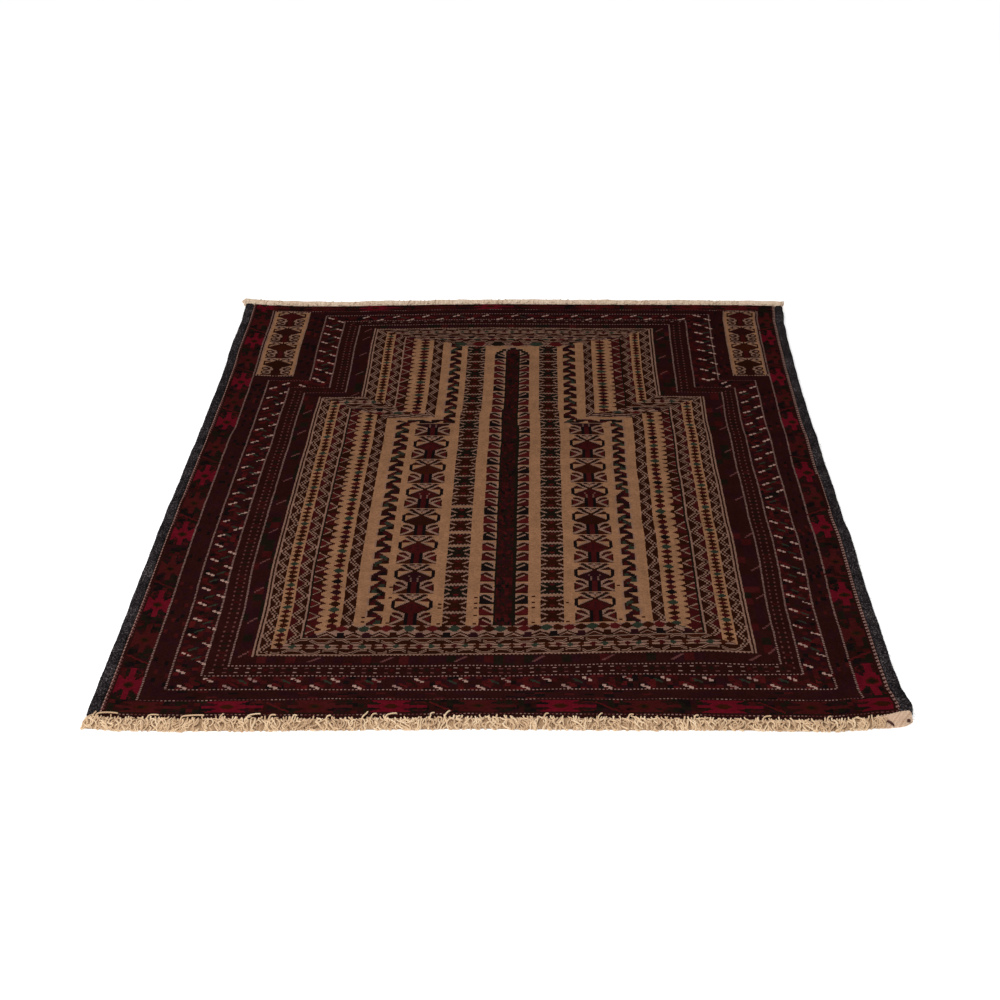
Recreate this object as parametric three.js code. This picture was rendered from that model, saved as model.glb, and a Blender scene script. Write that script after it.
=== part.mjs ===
// A knotted Baluch prayer rug lying flat, in millimetres, +Z up.
// X runs across the rug, Y along it (near end at -Y), and Z = 0 is the surface it lies on.
// Five pieces: the knotted cloth, the goat-hair cords bound over its two sides, and the
// warp fringe at each end, which is one comb across the width.

import * as THREE from 'three';
import { mergeVertices } from 'three/addons/utils/BufferGeometryUtils.js';

// ---- sizes -----------------------------------------------------------------

const CLOTH_T = 7;          // foundation and pile together
const END_SLOPE = 1.6;      // how far the pile leans in at the two ends
const GAP = 0.3;            // clearance between neighbouring pieces
const CORD_W = 13;          // width of a bound side cord
const CORD_T = 7.6;         // height of a bound side cord
const CORD_FLAT = 8.6;      // width of the cord's flat underside
const CORD_LUMP = 0.35;     // unevenness of the binding
const END_GAP = 0.45;       // clearance past the pile's ends, which are not straight
const WEB_L = 5;            // woven strip that the fringe grows from
const FRINGE_T = 6;         // height of the curled fringe
const STRAND_PITCH = 7.4;   // one bunch of warp ends to the next
const STRAND_W = 4.6;       // a bunch at its root
const TIP_W = 3.0;          // and at its tip
const TAB_W = 33;           // stitched-down woven corner at the near right
const COLUMNS = 14;         // facets of the cloth across
const ROWS = 42;            // facets of the cloth and cords along

// ---- the outline as it lies --------------------------------------------------

// Outer faces of the two side cords, by place along the rug: the sides draw in a little
// towards the middle and flare at the corners.
const SIDES = [
  { y: -745, left: -426.4, right: 431.6 },
  { y: -722, left: -426.6, right: 433.4 },
  { y: -700, left: -426.4, right: 430.8 },
  { y: -680, left: -426.0, right: 428.0 },
  { y: -600, left: -425.8, right: 426.4 },
  { y: -430, left: -425.2, right: 424.6 },
  { y: -250, left: -425.4, right: 425.4 },
  { y: -180, left: -424.6, right: 423.4 },
  { y: -80, left: -423.8, right: 423.2 },
  { y: 10, left: -422.9, right: 421.6 },
  { y: 100, left: -421.6, right: 422.3 },
  { y: 200, left: -421.5, right: 420.6 },
  { y: 300, left: -420.5, right: 421.2 },
  { y: 410, left: -421.0, right: 421.7 },
  { y: 530, left: -423.4, right: 423.8 },
  { y: 650, left: -423.2, right: 426.3 },
  { y: 720, left: -424.6, right: 430.6 },
  { y: 745, left: -425.4, right: 432.2 },
];

// Ends of the pile and the fringe past them, by place across the rug: neither end is
// quite straight, and the near right corner is drawn back.
const ENDS = [
  { x: -430, near: -744.0, far: 743.0, nearFringe: 22.5, farFringe: 23.0 },
  { x: -410, near: -745.5, far: 740.5, nearFringe: 23.5, farFringe: 24.0 },
  { x: -384, near: -749.5, far: 734.5, nearFringe: 21.0, farFringe: 22.0 },
  { x: -330, near: -750.0, far: 729.5, nearFringe: 22.0, farFringe: 21.0 },
  { x: -270, near: -748.5, far: 729.5, nearFringe: 22.0, farFringe: 20.0 },
  { x: -180, near: -748.0, far: 736.0, nearFringe: 19.0, farFringe: 22.0 },
  { x: -100, near: -745.5, far: 742.0, nearFringe: 18.5, farFringe: 20.5 },
  { x: -20, near: -742.0, far: 745.5, nearFringe: 19.5, farFringe: 21.0 },
  { x: 70, near: -741.5, far: 745.5, nearFringe: 20.5, farFringe: 22.0 },
  { x: 150, near: -741.8, far: 745.2, nearFringe: 20.5, farFringe: 21.0 },
  { x: 210, near: -742.4, far: 745.2, nearFringe: 18.5, farFringe: 20.0 },
  { x: 280, near: -743.5, far: 745.4, nearFringe: 17.5, farFringe: 22.0 },
  { x: 345, near: -744.0, far: 744.6, nearFringe: 18.0, farFringe: 21.0 },
  { x: 376, near: -739.0, far: 743.4, nearFringe: 18.5, farFringe: 22.0 },
  { x: 400, near: -733.5, far: 742.2, nearFringe: 19.0, farFringe: 22.5 },
  { x: 432, near: -727.5, far: 741.0, nearFringe: 19.5, farFringe: 21.5 },
];

// Soft ridges left by old folds, across the rug. skew is how much further along the right
// side lies than the left.
const CREASES = [
  { y: 127, rise: 1.1, halfWidth: 26, skew: -14 },
  { y: -138, rise: 0.9, halfWidth: 30, skew: 10 },
];

// ---- helpers ---------------------------------------------------------------

const smooth = (t) => t * t * (3 - 2 * t);

// The value of a table's named column at a place given by its key column.
function along(table, key, column, at) {
  const last = table.length - 1;
  if (at <= table[0][key]) return table[0][column];
  if (at >= table[last][key]) return table[last][column];
  let k = 0;
  while (at > table[k + 1][key]) k += 1;
  const a = table[k];
  const b = table[k + 1];
  return a[column] + (b[column] - a[column]) * smooth((at - a[key]) / (b[key] - a[key]));
}

const leftSide = (y) => along(SIDES, 'y', 'left', y);
const rightSide = (y) => along(SIDES, 'y', 'right', y);
const nearEnd = (x) => along(ENDS, 'x', 'near', x);
const farEnd = (x) => along(ENDS, 'x', 'far', x);

function ridge(x, y) {
  let z = 0;
  for (const c of CREASES) {
    const middle = c.y + (c.skew * x) / 860;
    const d = (y - middle) / c.halfWidth;
    if (Math.abs(d) < 1) z += c.rise * (1 - d * d) ** 2;
  }
  return z;
}

// Height of the pile: even, with old-fold ridges and a slow swell of about half a millimetre.
function pileTop(x, y) {
  const swell = 0.22 * Math.sin(x / 97 + y / 210) + 0.18 * Math.sin(y / 83 - x / 160);
  return CLOTH_T + swell + ridge(x, y);
}

// A named mesh from corner points and triangles that share them.
function solid(name, points, triangles, colour, roughness) {
  const geometry = new THREE.BufferGeometry();
  geometry.setAttribute('position', new THREE.Float32BufferAttribute(points.flat(), 3));
  geometry.setIndex(triangles.flat());
  geometry.computeVertexNormals();
  return named(name, geometry, colour, roughness);
}

function named(name, geometry, colour, roughness) {
  const material = new THREE.MeshStandardMaterial({ color: colour, roughness, metalness: 0 });
  const mesh = new THREE.Mesh(geometry, material);
  mesh.name = name;
  return mesh;
}

const steps = (from, to, count) =>
  Array.from({ length: count + 1 }, (_, i) => from + ((to - from) * i) / count);

// ---- the knotted cloth -------------------------------------------------------

// One closed slab between the cords and between the pile ends. s and t run from 0 to 1
// across and along it. The underside is flat.
function cloth() {
  const points = [];
  const triangles = [];
  const across = steps(0, 1, COLUMNS);
  const lengthwise = steps(0, 1, ROWS);
  const at = (layer, i, j) => layer * (COLUMNS + 1) * (ROWS + 1) + j * (COLUMNS + 1) + i;
  for (const top of [true, false]) {
    for (const t of lengthwise) {
      for (const s of across) {
        const yNominal = -745 + 1490 * t;
        const left = leftSide(yNominal) + CORD_W + GAP;
        const right = rightSide(yNominal) - CORD_W - GAP;
        const x = left + (right - left) * s;
        let y = nearEnd(x) + (farEnd(x) - nearEnd(x)) * t;
        if (top && t === 0) y += END_SLOPE;
        if (top && t === 1) y -= END_SLOPE;
        points.push([x, y, top ? pileTop(x, y) : 0]);
      }
    }
  }
  const quad = (a, b, c, d) => triangles.push([a, b, c], [a, c, d]);
  for (let j = 0; j < ROWS; j += 1) {
    for (let i = 0; i < COLUMNS; i += 1) {
      quad(at(0, i, j), at(0, i + 1, j), at(0, i + 1, j + 1), at(0, i, j + 1));
      quad(at(1, i, j), at(1, i, j + 1), at(1, i + 1, j + 1), at(1, i + 1, j));
    }
    quad(at(1, 0, j), at(0, 0, j), at(0, 0, j + 1), at(1, 0, j + 1));
    quad(at(1, COLUMNS, j), at(1, COLUMNS, j + 1), at(0, COLUMNS, j + 1), at(0, COLUMNS, j));
  }
  for (let i = 0; i < COLUMNS; i += 1) {
    quad(at(1, i, 0), at(1, i + 1, 0), at(0, i + 1, 0), at(0, i, 0));
    quad(at(1, i, ROWS), at(0, i, ROWS), at(0, i + 1, ROWS), at(1, i + 1, ROWS));
  }
  return solid('rug_body', points, triangles, 0x4a1a1c, 0.95);
}

// ---- the side cords ------------------------------------------------------------

// The cord's section, seen from the near end: flat below, rounded above. out is the part
// of the width from the cloth's side (0) to the outer face (1).
const CORD_SECTION = [
  { out: 0.5 - CORD_FLAT / CORD_W / 2, up: 0 },
  { out: 0.5 + CORD_FLAT / CORD_W / 2, up: 0 },
  { out: 1, up: 0.3 },
  { out: 1, up: 0.64 },
  { out: 0.82, up: 0.93 },
  { out: 0.5, up: 1 },
  { out: 0.18, up: 0.93 },
  { out: 0, up: 0.64 },
  { out: 0, up: 0.3 },
];

function cord(name, side) {
  const points = [];
  const triangles = [];
  const n = CORD_SECTION.length;
  const stations = steps(0, 1, ROWS);
  stations.forEach((t, k) => {
    const yNominal = -745 + 1490 * t;
    const outer = side < 0 ? leftSide(yNominal) : rightSide(yNominal);
    const lump = CORD_LUMP * Math.sin(k * 2.3 + side);
    for (const p of CORD_SECTION) {
      const inset = (1 - p.out) * CORD_W + p.out * (CORD_LUMP - lump);
      const x = outer - side * inset;
      const y = nearEnd(x) + (farEnd(x) - nearEnd(x)) * t;
      const rise = p.up > 0.9 ? ridge(x, y) + lump * 0.5 : 0;
      points.push([x, y, p.up * CORD_T + rise]);
    }
  });
  const turn = (a, b, c) => triangles.push(side > 0 ? [a, b, c] : [a, c, b]);
  for (let k = 0; k + 1 < stations.length; k += 1) {
    for (let i = 0; i < n; i += 1) {
      const a = k * n + i;
      const b = k * n + ((i + 1) % n);
      turn(a, a + n, b + n);
      turn(a, b + n, b);
    }
  }
  const last = (stations.length - 1) * n;
  for (let i = 1; i + 1 < n; i += 1) {
    turn(0, i, i + 1);
    turn(last, last + i + 1, last + i);
  }
  return solid(name, points, triangles, 0x1b1820, 0.9);
}

// ---- the fringes -----------------------------------------------------------------

// One comb: a narrow woven strip along the pile's end, and bunches of warp ends growing
// from it, no two quite the same length. outward is -1 at the near end and 1 at the far end.
function fringe(name, outward) {
  const end = outward < 0 ? nearEnd : farEnd;
  const column = outward < 0 ? 'nearFringe' : 'farFringe';
  const reach = (x) => along(ENDS, 'x', column, x);
  const left = leftSide(745 * outward) - (outward > 0 ? 6 : 0.6);
  const right = rightSide(745 * outward) - 0.4;
  const tab = outward < 0 ? TAB_W : 0;
  const outline = [];
  const put = (x, out) => outline.push(new THREE.Vector2(x, end(x) + outward * (END_GAP + out)));
  const count = Math.floor((right - tab - left) / STRAND_PITCH);
  const pitch = (right - tab - left) / count;
  for (let i = 0; i < count; i += 1) {
    const root = left + pitch * i;
    const uneven = 1.5 * Math.sin(i * 1.9) + 1.1 * Math.sin(i * 0.73 + 1);
    const slant = 0.6 * Math.sin(i * 2.7 + outward);
    const length = reach(root) - 1.6 + 0.6 * uneven;
    put(root, WEB_L);
    put(root + (pitch - STRAND_W) / 2, WEB_L + 0.4);
    put(root + (pitch - TIP_W) / 2 + slant, length);
    put(root + (pitch + TIP_W) / 2 + slant, length - 0.8);
    put(root + (pitch + STRAND_W) / 2, WEB_L + 0.4);
  }
  if (tab) {
    put(right - tab, WEB_L);
    put(right - tab + 2, reach(right) - 1.5);
    put(right - tab / 2, reach(right));
    put(right - 2, reach(right) - 0.5);
    put(right, reach(right) - 3);
  } else {
    put(right, WEB_L);
  }
  // The inner edge turns where the cloth's and the cords' ends do.
  const rightEdge = rightSide(745 * outward);
  const leftEdge = leftSide(745 * outward);
  const clothRight = rightEdge - CORD_W - GAP;
  const clothLeft = leftEdge + CORD_W + GAP;
  put(right, 0);
  for (const x of steps(right - 1, clothRight, 8)) put(x, 0);
  for (const x of steps(clothRight, clothLeft, COLUMNS).slice(1, -1)) put(x, 0);
  for (const x of steps(clothLeft, left + 0.5, 8)) put(x, 0);
  put(left, 0);
  if (outward < 0) outline.reverse();
  const geometry = new THREE.ExtrudeGeometry(new THREE.Shape(outline), {
    depth: FRINGE_T,
    bevelEnabled: false,
    steps: 1,
  });
  geometry.deleteAttribute('normal');
  geometry.deleteAttribute('uv');
  const merged = mergeVertices(geometry, 1e-4);
  merged.computeVertexNormals();
  return named(name, merged, 0xd9c09a, 0.85);
}

// ---- the rug -------------------------------------------------------------------------

const rug = new THREE.Group();
rug.add(
  cloth(),
  cord('selvedge_left', -1),
  cord('selvedge_right', 1),
  fringe('fringe_near', -1),
  fringe('fringe_far', 1),
);

// The origin is the middle of the rug's box, on the surface it lies on.
const box = new THREE.Box3().setFromObject(rug);
const middle = box.getCenter(new THREE.Vector3());
rug.position.set(-middle.x, -middle.y, -box.min.z);
rug.updateMatrixWorld(true);

export default rug;
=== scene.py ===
# A knotted prayer rug lying flat: clipped wool pile, woven back, goat-hair side cords and
# a curled warp fringe at each end. Lengths in the tables are millimetres.

import math

import bpy
import numpy as np
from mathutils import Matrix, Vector


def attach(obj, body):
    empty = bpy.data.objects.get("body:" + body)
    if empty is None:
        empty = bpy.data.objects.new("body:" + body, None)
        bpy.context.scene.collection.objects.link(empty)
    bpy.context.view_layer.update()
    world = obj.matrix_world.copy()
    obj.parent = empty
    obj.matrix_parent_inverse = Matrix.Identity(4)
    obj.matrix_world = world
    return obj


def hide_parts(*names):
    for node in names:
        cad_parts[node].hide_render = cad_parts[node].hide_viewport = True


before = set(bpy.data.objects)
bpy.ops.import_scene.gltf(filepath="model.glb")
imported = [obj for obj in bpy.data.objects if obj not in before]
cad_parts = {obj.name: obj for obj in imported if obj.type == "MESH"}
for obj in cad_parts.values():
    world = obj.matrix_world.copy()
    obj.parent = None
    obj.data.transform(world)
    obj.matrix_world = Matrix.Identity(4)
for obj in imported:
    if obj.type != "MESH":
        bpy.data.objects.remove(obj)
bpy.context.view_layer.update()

# ---- the frame's outline, as the solids have it ----------------------------------

SHIFT_X, SHIFT_Y = -0.2, 2.035   # from the tables below to the frame's origin

SIDES = np.array([
    (-745, -426.4, 431.6), (-722, -426.6, 433.4), (-700, -426.4, 430.8), (-680, -426.0, 428.0),
    (-600, -425.8, 426.4), (-430, -425.2, 424.6), (-250, -425.4, 425.4), (-180, -424.6, 423.4),
    (-80, -423.8, 423.2), (10, -422.9, 421.6), (100, -421.6, 422.3), (200, -421.5, 420.6),
    (300, -420.5, 421.2), (410, -421.0, 421.7), (530, -423.4, 423.8), (650, -423.2, 426.3),
    (720, -424.6, 430.6), (745, -425.4, 432.2)])

ENDS = np.array([
    (-430, -744.0, 743.0, 22.5, 23.0), (-410, -745.5, 740.5, 23.5, 24.0),
    (-384, -749.5, 734.5, 21.0, 22.0), (-330, -750.0, 729.5, 22.0, 21.0),
    (-270, -748.5, 729.5, 22.0, 20.0), (-180, -748.0, 736.0, 19.0, 22.0),
    (-100, -745.5, 742.0, 18.5, 20.5), (-20, -742.0, 745.5, 19.5, 21.0),
    (70, -741.5, 745.5, 20.5, 22.0), (150, -741.8, 745.2, 20.5, 21.0),
    (210, -742.4, 745.2, 18.5, 20.0), (280, -743.5, 745.4, 17.5, 22.0),
    (345, -744.0, 744.6, 18.0, 21.0), (376, -739.0, 743.4, 18.5, 22.0),
    (400, -733.5, 742.2, 19.0, 22.5), (432, -727.5, 741.0, 19.5, 21.5)])


def along(table, column, at):
    at = np.clip(np.asarray(at, float), table[0, 0], table[-1, 0])
    k = np.clip(np.searchsorted(table[:, 0], at, side="right") - 1, 0, len(table) - 2)
    t = (at - table[k, 0]) / (table[k + 1, 0] - table[k, 0])
    t = t * t * (3 - 2 * t)
    return table[k, column] + (table[k + 1, column] - table[k, column]) * t


def left_side(y):
    return along(SIDES, 1, y)


def right_side(y):
    return along(SIDES, 2, y)


def near_end(x):
    return along(ENDS, 1, x)


def far_end(x):
    return along(ENDS, 2, x)


def ridge(x, y):
    z = np.zeros(np.broadcast(x, y).shape)
    for cy, rise, half, skew in ((127, 1.1, 26, -14), (-138, 0.9, 30, 10)):
        d = (y - cy - skew * x / 860) / half
        z = z + np.where(np.abs(d) < 1, rise * (1 - d * d) ** 2, 0)
    return z


def pile_top(x, y):
    swell = 0.22 * np.sin(x / 97 + y / 210) + 0.18 * np.sin(y / 83 - x / 160)
    return 7 + swell + ridge(x, y)


def place(u, v):
    """Nominal place on the rug (u 0..860 across from the left, v 0..1490 along) to x, y."""
    yn = -745 + v
    left, right = left_side(yn), right_side(yn)
    x = left + (right - left) * u / 860
    near, far = near_end(x), far_end(x)
    return x, near + (far - near) * v / 1490


# ---- the camera -------------------------------------------------------------------

PITCH, YAW = math.atan2(950, 2452), math.radians(-0.84969)
view = bpy.data.cameras.new("view")
view.sensor_width = 36
view.lens = 88.272
view.clip_end = 50
camera = bpy.data.objects.new("camera", view)
camera.location = ((37 + SHIFT_X) / 1000, (-3026.5 + SHIFT_Y) / 1000, 1.131589)
look = Vector((math.sin(YAW) * math.cos(PITCH), math.cos(YAW) * math.cos(PITCH), -math.sin(PITCH)))
camera.rotation_euler = look.to_track_quat("-Z", "Y").to_euler()
bpy.context.scene.collection.objects.link(camera)
bpy.context.scene.camera = camera

# ---- the design, knot by knot -----------------------------------------------------
# The pile has COLS x ROWS knots of about 2.1 mm. The design is worked out for one half of
# the rug at a time, with m the distance from that half's outer edge, and v along the rug.

COLS, ROWS = 396, 710
U_FIRST, U_PITCH = 13.2, 833.6 / 396
V_PITCH = 1490 / 710
MIDDLE = 433.5

(CAMEL, CREAM, WINE, BROWN, RED, STAR, NAVY, GREEN, PURPLE, WHITE, DOT, DIM, RUST, BRICK, NIGHT,
 ROSE) = range(16)

# Wool as dyed, sRGB 0..255.
WOOL = {
    CAMEL: (126, 90, 65), CREAM: (113, 85, 72), WINE: (35, 13, 11), BROWN: (35, 14, 7),
    RED: (50, 13, 13), STAR: (79, 12, 22), NAVY: (17, 11, 11), GREEN: (35, 40, 31),
    PURPLE: (34, 12, 15), WHITE: (144, 115, 104), DOT: (120, 93, 86), DIM: (53, 15, 15),
    RUST: (44, 17, 8), BRICK: (63, 16, 16), NIGHT: (22, 16, 11), ROSE: (80, 47, 45)}

# The nested borders and frames, from the outer edge in: where each begins on the long
# side (m), at the near end (v), on the shoulder under the niche's spandrel (v, falling),
# on the upper long side (m) and at the far end (v, falling).
FRAMES = [
    #  name        side   near   shoulder upper   top    width
    ("star",       16.5,  6.3,   None,    None,   1488,  30),
    ("dots_1",     46.5,  39.0,  None,    None,   1459,  4),
    ("guard",      50.5,  43.0,  1127,    112.0,  1455,  21),
    ("dots_2",     71.5,  63.5,  1112,    131.5,  1437,  4),
    ("slash",      75.5,  67.5,  1108,    135.5,  1433,  30),
    ("dots_3",     105.5, 98.0,  1080,    164.5,  1404,  4),
    ("spots",      109.5, 102.0, 1076,    168.5,  1400,  20),
    ("dots_4",     129.5, 123.5, 1057,    189.0,  1381,  4),
    ("dark",       133.5, 127.5, 1053,    193.0,  1377,  21),
    ("edge",       154.5, 148.8, 1037,    215.7,  1362,  6.3),
    ("zigzag_a",   160.8, 155.1, 1031,    222.0,  1356,  13),
    ("beads_b",    173.6, 169.5, 1018,    236.0,  1343,  14),
    ("zigzag_c",   188.0, 181.5, 1003,    251.0,  1333,  15),
    ("line",       203.0, 196.0, 985.5,   266.0,  1318.5, 4),
    ("teeth",      207.0, 199.2, 982,     268.5,  1315,  17),
    ("beads_e",    224.0, 214.0, 967,     286.5,  1303,  21),
    ("zigzag_f",   245.0, 230.5, 956,     312.0,  1296,  15),
    ("camel",      260.0, None,  940,     326.0,  1287,  10),
    ("meander",    271.0, None,  934,     335.5,  1285,  22),
    ("field",      293.0, None,  913,     357.0,  1266,  99)]
NAMES = [f[0] for f in FRAMES]


def tread(values, falling=False):
    """Place along a row of FRAMES' starts, as frame number and part of it."""
    known = [(k, w) for k, w in enumerate(values) if w is not None]
    sign = -1 if falling else 1
    xs = np.array([sign * w for _, w in known], float)
    ks = np.array([k for k, _ in known], float)
    last = ks[-1]

    def at(x):
        x = sign * np.asarray(x, float)
        s = np.interp(x, xs, ks)
        return np.where(x > xs[-1], last + 40, s)

    return at


side_tread = tread([f[1] for f in FRAMES])
near_tread = tread([f[2] for f in FRAMES])
step_tread = tread([f[3] for f in FRAMES], True)
upper_tread = tread([f[4] for f in FRAMES])
top_tread = tread([f[5] for f in FRAMES], True)


def tri(n):
    """A triangle wave: 1 at each whole number, -1 half way between."""
    return 4 * np.abs(n - np.floor(n) - 0.5) - 1


def near_whole(n):
    """How far n is from the nearest whole number, with its sign."""
    return n - np.floor(n + 0.5)


def beat(t, marks, period):
    """Counts repeats along a band: the weaver's beat is a little uneven, so marks set it."""
    xs = np.array([a for a, _ in marks], float)
    ns = np.array([b for _, b in marks], float)
    n = np.interp(t, xs, ns)
    n = np.where(t < xs[0], ns[0] + (t - xs[0]) / period, n)
    return np.where(t > xs[-1], ns[-1] + (t - xs[-1]) / period, n)


def cell_hash(a, b, seed=0):
    """A repeatable random number from 0 to 1 for each pair of whole numbers."""
    a = np.asarray(a, np.int64)
    b = np.asarray(b, np.int64)
    n = (a * 73856093) ^ (b * 19349663) ^ (seed * 83492791 + 12345)
    n = (n ^ (n >> 13)) * 1274126177
    n = n ^ (n >> 16)
    return ((n & 0xFFFFF) / float(0xFFFFF))


def rows_of(text):
    """A chart, top row first, as a list of strings, bottom row first."""
    return [r for r in text.split()][::-1]


def mirror(rows):
    """A chart of one half, its last column the middle, as the whole."""
    return [r + r[-2::-1] for r in rows]


# One vase of the lower field, left half; the last column is its middle.
VASE = mirror(rows_of("""
    .....c.ccc.c
    ...cbbccbbbc
    ...bbbbcbbcc
    ...cobbcccbc
    ....coobcccb
    ....ccoobccc
    ...bccoobc.b
    ..bbbccoobc.
    .cbrrbccoobc
    cbbrrrbccobb
    bbbbbbbbccbb
    nn.mmmmmccbb
    nn.mmmmccbbr
    nn.mmmccbbrr
    nn.mmccbbrrr
    nn.mccbbrrre
    nn.ccbbrrrre
    nn.cbbrrrrre
    nn.bbrrerrrr
    nnbbrreerrrr
    cnbbrrerrrre
    .nnbbrrrrrre
    .cnbbbrrrrre
    ..cbbbrrrrrr
    ...ccbbrrrrr
    ..c.ccbbrrrr
    .bbbcccbbrrr
    cbrrbcccnnRR
    .bbrrbccnnRR
    c.bbrbccnnRR
    bcccbbbcnnRR
    bbcccbbcnnRR
    bsbcccbcnnRR
    bssbcccbnnRR
    bsssbcccnnRR
    bsssbcccnnRR
    bssbcccbnnRR
    bsbcccbqnnRR
    bbcccbqqnnRR
    bcccbqqqnnRR
    cccbqqqqnnRR
    ccbqqqqqnnRR
    bbbbbbbbnnRR
"""))

# The vase of the two small panels beside the niche's head, drawn narrower.
PANEL_VASE = mirror(rows_of("""
    ccccccccccc
    .ccbbbbcc.b
    .cbbccbbc.b
    .cbbc.cbbcb
    ..cbbc.cbbb
    ...ccc.cbbb
    bbbb..cbbrr
    bbbbbcbbrrr
    bb..cbbrrrr
    b..cbbrrrrr
    b.cbbrrrrrr
    bcbbrrrrrrr
    bbbrrrrrrrr
    bbrrrrrrrrr
    bbrrrrrrrrr
    bbbrrrrrrrr
    .cbbrrrrrrr
    ..cbbrrrrrr
    ...cbbrrrrr
    ..cccbbrrrr
    .bbbcccbrrr
    bbbbbccbrrr
    bccbbbcbbRR
    bcccbbccbRR
    bbccbbccbRR
    bbbbbbccbRR
    .bbbbcccbRR
    ..cccccbbRR
    .bbbccbbbRR
    bbbbbccbbRR
    bccbbbcbbRR
    bcccbbcbbRR
    bccbbbcbbRR
    bbbbbccbbRR
    .bbbccbbbRR
    .bccbbbbbRR
    bbbbbbbbbRR
    bbbbbbbbRRR
    ccccccccRRR
"""))

# The barred star between camel stripes, left half, last column the middle.
SPIDER = mirror(rows_of("""
    ccccccc
    cbcbcbc
    bbbbbbb
    bbbbbrr
    cbbbbrr
    ccbbbbr
    bccbbbb
    bbccbbb
    bbbbbbb
    bbbbbbb
    bbbbbbb
    bbcbbbb
    bccbbbb
    ccbbbrr
    cbbbbrr
    bbbbbbr
    bbbbbbb
    bcbcbcb
    ccccccc
"""))

# The hooked leaf beside the pole, outer side first; X is its own colour.
HOOK = rows_of("""
    cccccccc
    ccbbccc.
    cbbbbcc.
    bbbbbbc.
    bbcbbbc.
    XXccbbb.
    XXXccbbc
    XXXXccbc
    XXXXXccc
    XXXXXXcc
    XXXXXXXc
    XXXXXXXb
    XXXXXXbb
    bbbbbbbb
""")

# A border star, left half, last column the middle.
STARS = mirror(rows_of("""
    .....dSS
    .....dSS
    ...d..SS
    ..dd..SS
    ..d...SS
    ..d...SS
    ..d..dSS
    ..dd..SS
    ...d..SS
    ......SS
    .S....SS
    .SS..SSS
    .SS..SSS
    .SSS.SSS
    .SSSSSSS
    .SSSSSSS
    .SSSSSSu
    .SSSSSuu
    .SSSSuun
    .SSSSunn
    .SSSSunn
    .SSSSuun
    .SSSSSuu
    .SSSSSSu
    .SSSSSSS
    .SSS.SSS
    .SSS..SS
    .SS...SS
    .SS...SS
    .S....SS
    ..n...SS
    ..n...SS
    .....dSS
    ....d.SS
    ....d.SS
    ......SS
"""))

SLASH = rows_of("""
    ww...
    ww...
    .www.
    ...ww
    ...ww
""")

FLY = rows_of("""
    gg...
    .gg..
    .ggg.
    ...gg
    ....g
""")

KEY = {"c": CREAM, "b": BROWN, "r": RED, "R": RED, "n": NAVY, "S": STAR, "d": DIM,
       "w": WHITE, "g": GREEN, "N": NIGHT, "u": RUST, "p": PURPLE, "m": CAMEL, "o": NIGHT,
       "s": BRICK, "q": RUST, "e": PURPLE}


def stamp(grid, rows, col, row, key=None, flip=False, turn=False):
    """Puts a chart on a grid of knots, its bottom left knot at col, row. '.' leaves what is there."""
    a = np.array([list(r) for r in rows])
    if flip:
        a = a[:, ::-1]
    if turn:
        a = a.T
    key = {**KEY, **(key or {})}
    for j in range(a.shape[0]):
        r = row + j
        if not 0 <= r < grid.shape[0]:
            continue
        for i in range(a.shape[1]):
            c = col + i
            if a[j, i] != "." and 0 <= c < grid.shape[1]:
                grid[r, c] = key[a[j, i]]


def zigzag(c, n, width, outer, inner, reach=2.0, steep=1.0, thick=1.0):
    """A dark line between two cream ones, swinging across a dark band."""
    d = (c - 0.5) * width - np.clip(tri(n) * steep, -1, 1) * (width / 2 - reach)
    k = np.where(d < 0, outer, inner).astype(np.uint8)
    k = np.where(np.abs(d) < 4.2 * thick, BROWN, k)
    k = np.where(np.abs(d) < 3.2 * thick, CREAM, k)
    return np.where(np.abs(d) < 1.3 * thick, BROWN, k)


def beads(c, n, width, spacing, half, tall, colours, ground, line=RED):
    """A chain of small lozenges on a thin line."""
    x = (c - 0.5) * width
    q = near_whole(n) * spacing
    pick = np.array(colours)[np.floor(n + 0.5).astype(int) % len(colours)]
    k = np.broadcast_to(ground, c.shape).astype(np.uint8)
    k = np.where(np.abs(x) < 1.05, line, k)
    return np.where((np.abs(x) / half) ** 1.4 + (np.abs(q) / tall) ** 1.4 < 1, pick, k)


def chevrons(c, n, width, spacing, body):
    """Red triangles within cream chevrons, and a dark body with a toothed edge between."""
    x = c * width
    q = np.abs(near_whole(n + 0.5)) * spacing
    p = spacing / 2 - q
    e = x + 0.95 * q
    spike = np.maximum(0, 1 - np.abs(near_whole(2 * n)) * spacing / 2 / 5.5)
    k = np.where(x < 11.5 + 6.5 * spike, body, CAMEL).astype(np.uint8)
    k = np.where((e < 14.6) | ((q < 1.6) & (x < 15.5)), BROWN, k)
    k = np.where((e > 9.4) & (e < 12.2), CREAM, k)
    k = np.where(e <= 9.4, BROWN, k)
    k = np.where((p < 7) & (x > 12.5 + 5.5 * spike) & (x < 14.5), CREAM, k)
    return np.where(e < 7.6, BRICK, k)


def rafters(c, n, width, spacing, blocks):
    """The same band at the ends: upright blocks, and roofs of cream and brown between them."""
    x = c * width
    q = np.abs(near_whole(n + 0.5)) * spacing
    p = np.abs(near_whole(n)) * spacing
    e = x + 0.95 * q
    k = np.full(c.shape, CREAM, np.uint8)
    k = np.where((x < 5.0) & (p < 10), BROWN, k)
    k = np.where((e > 10.2) & (e < 15.0), BROWN, k)
    k = np.where((e > 7.6) & (e <= 10.2), CREAM, k)
    k = np.where(e <= 7.6, RUST, k)
    pick = np.array(blocks)[np.floor(n + 0.5).astype(int) % len(blocks)]
    return np.where((p < 5.4 - 0.12 * x) & (x < 12.5), pick, k)


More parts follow.
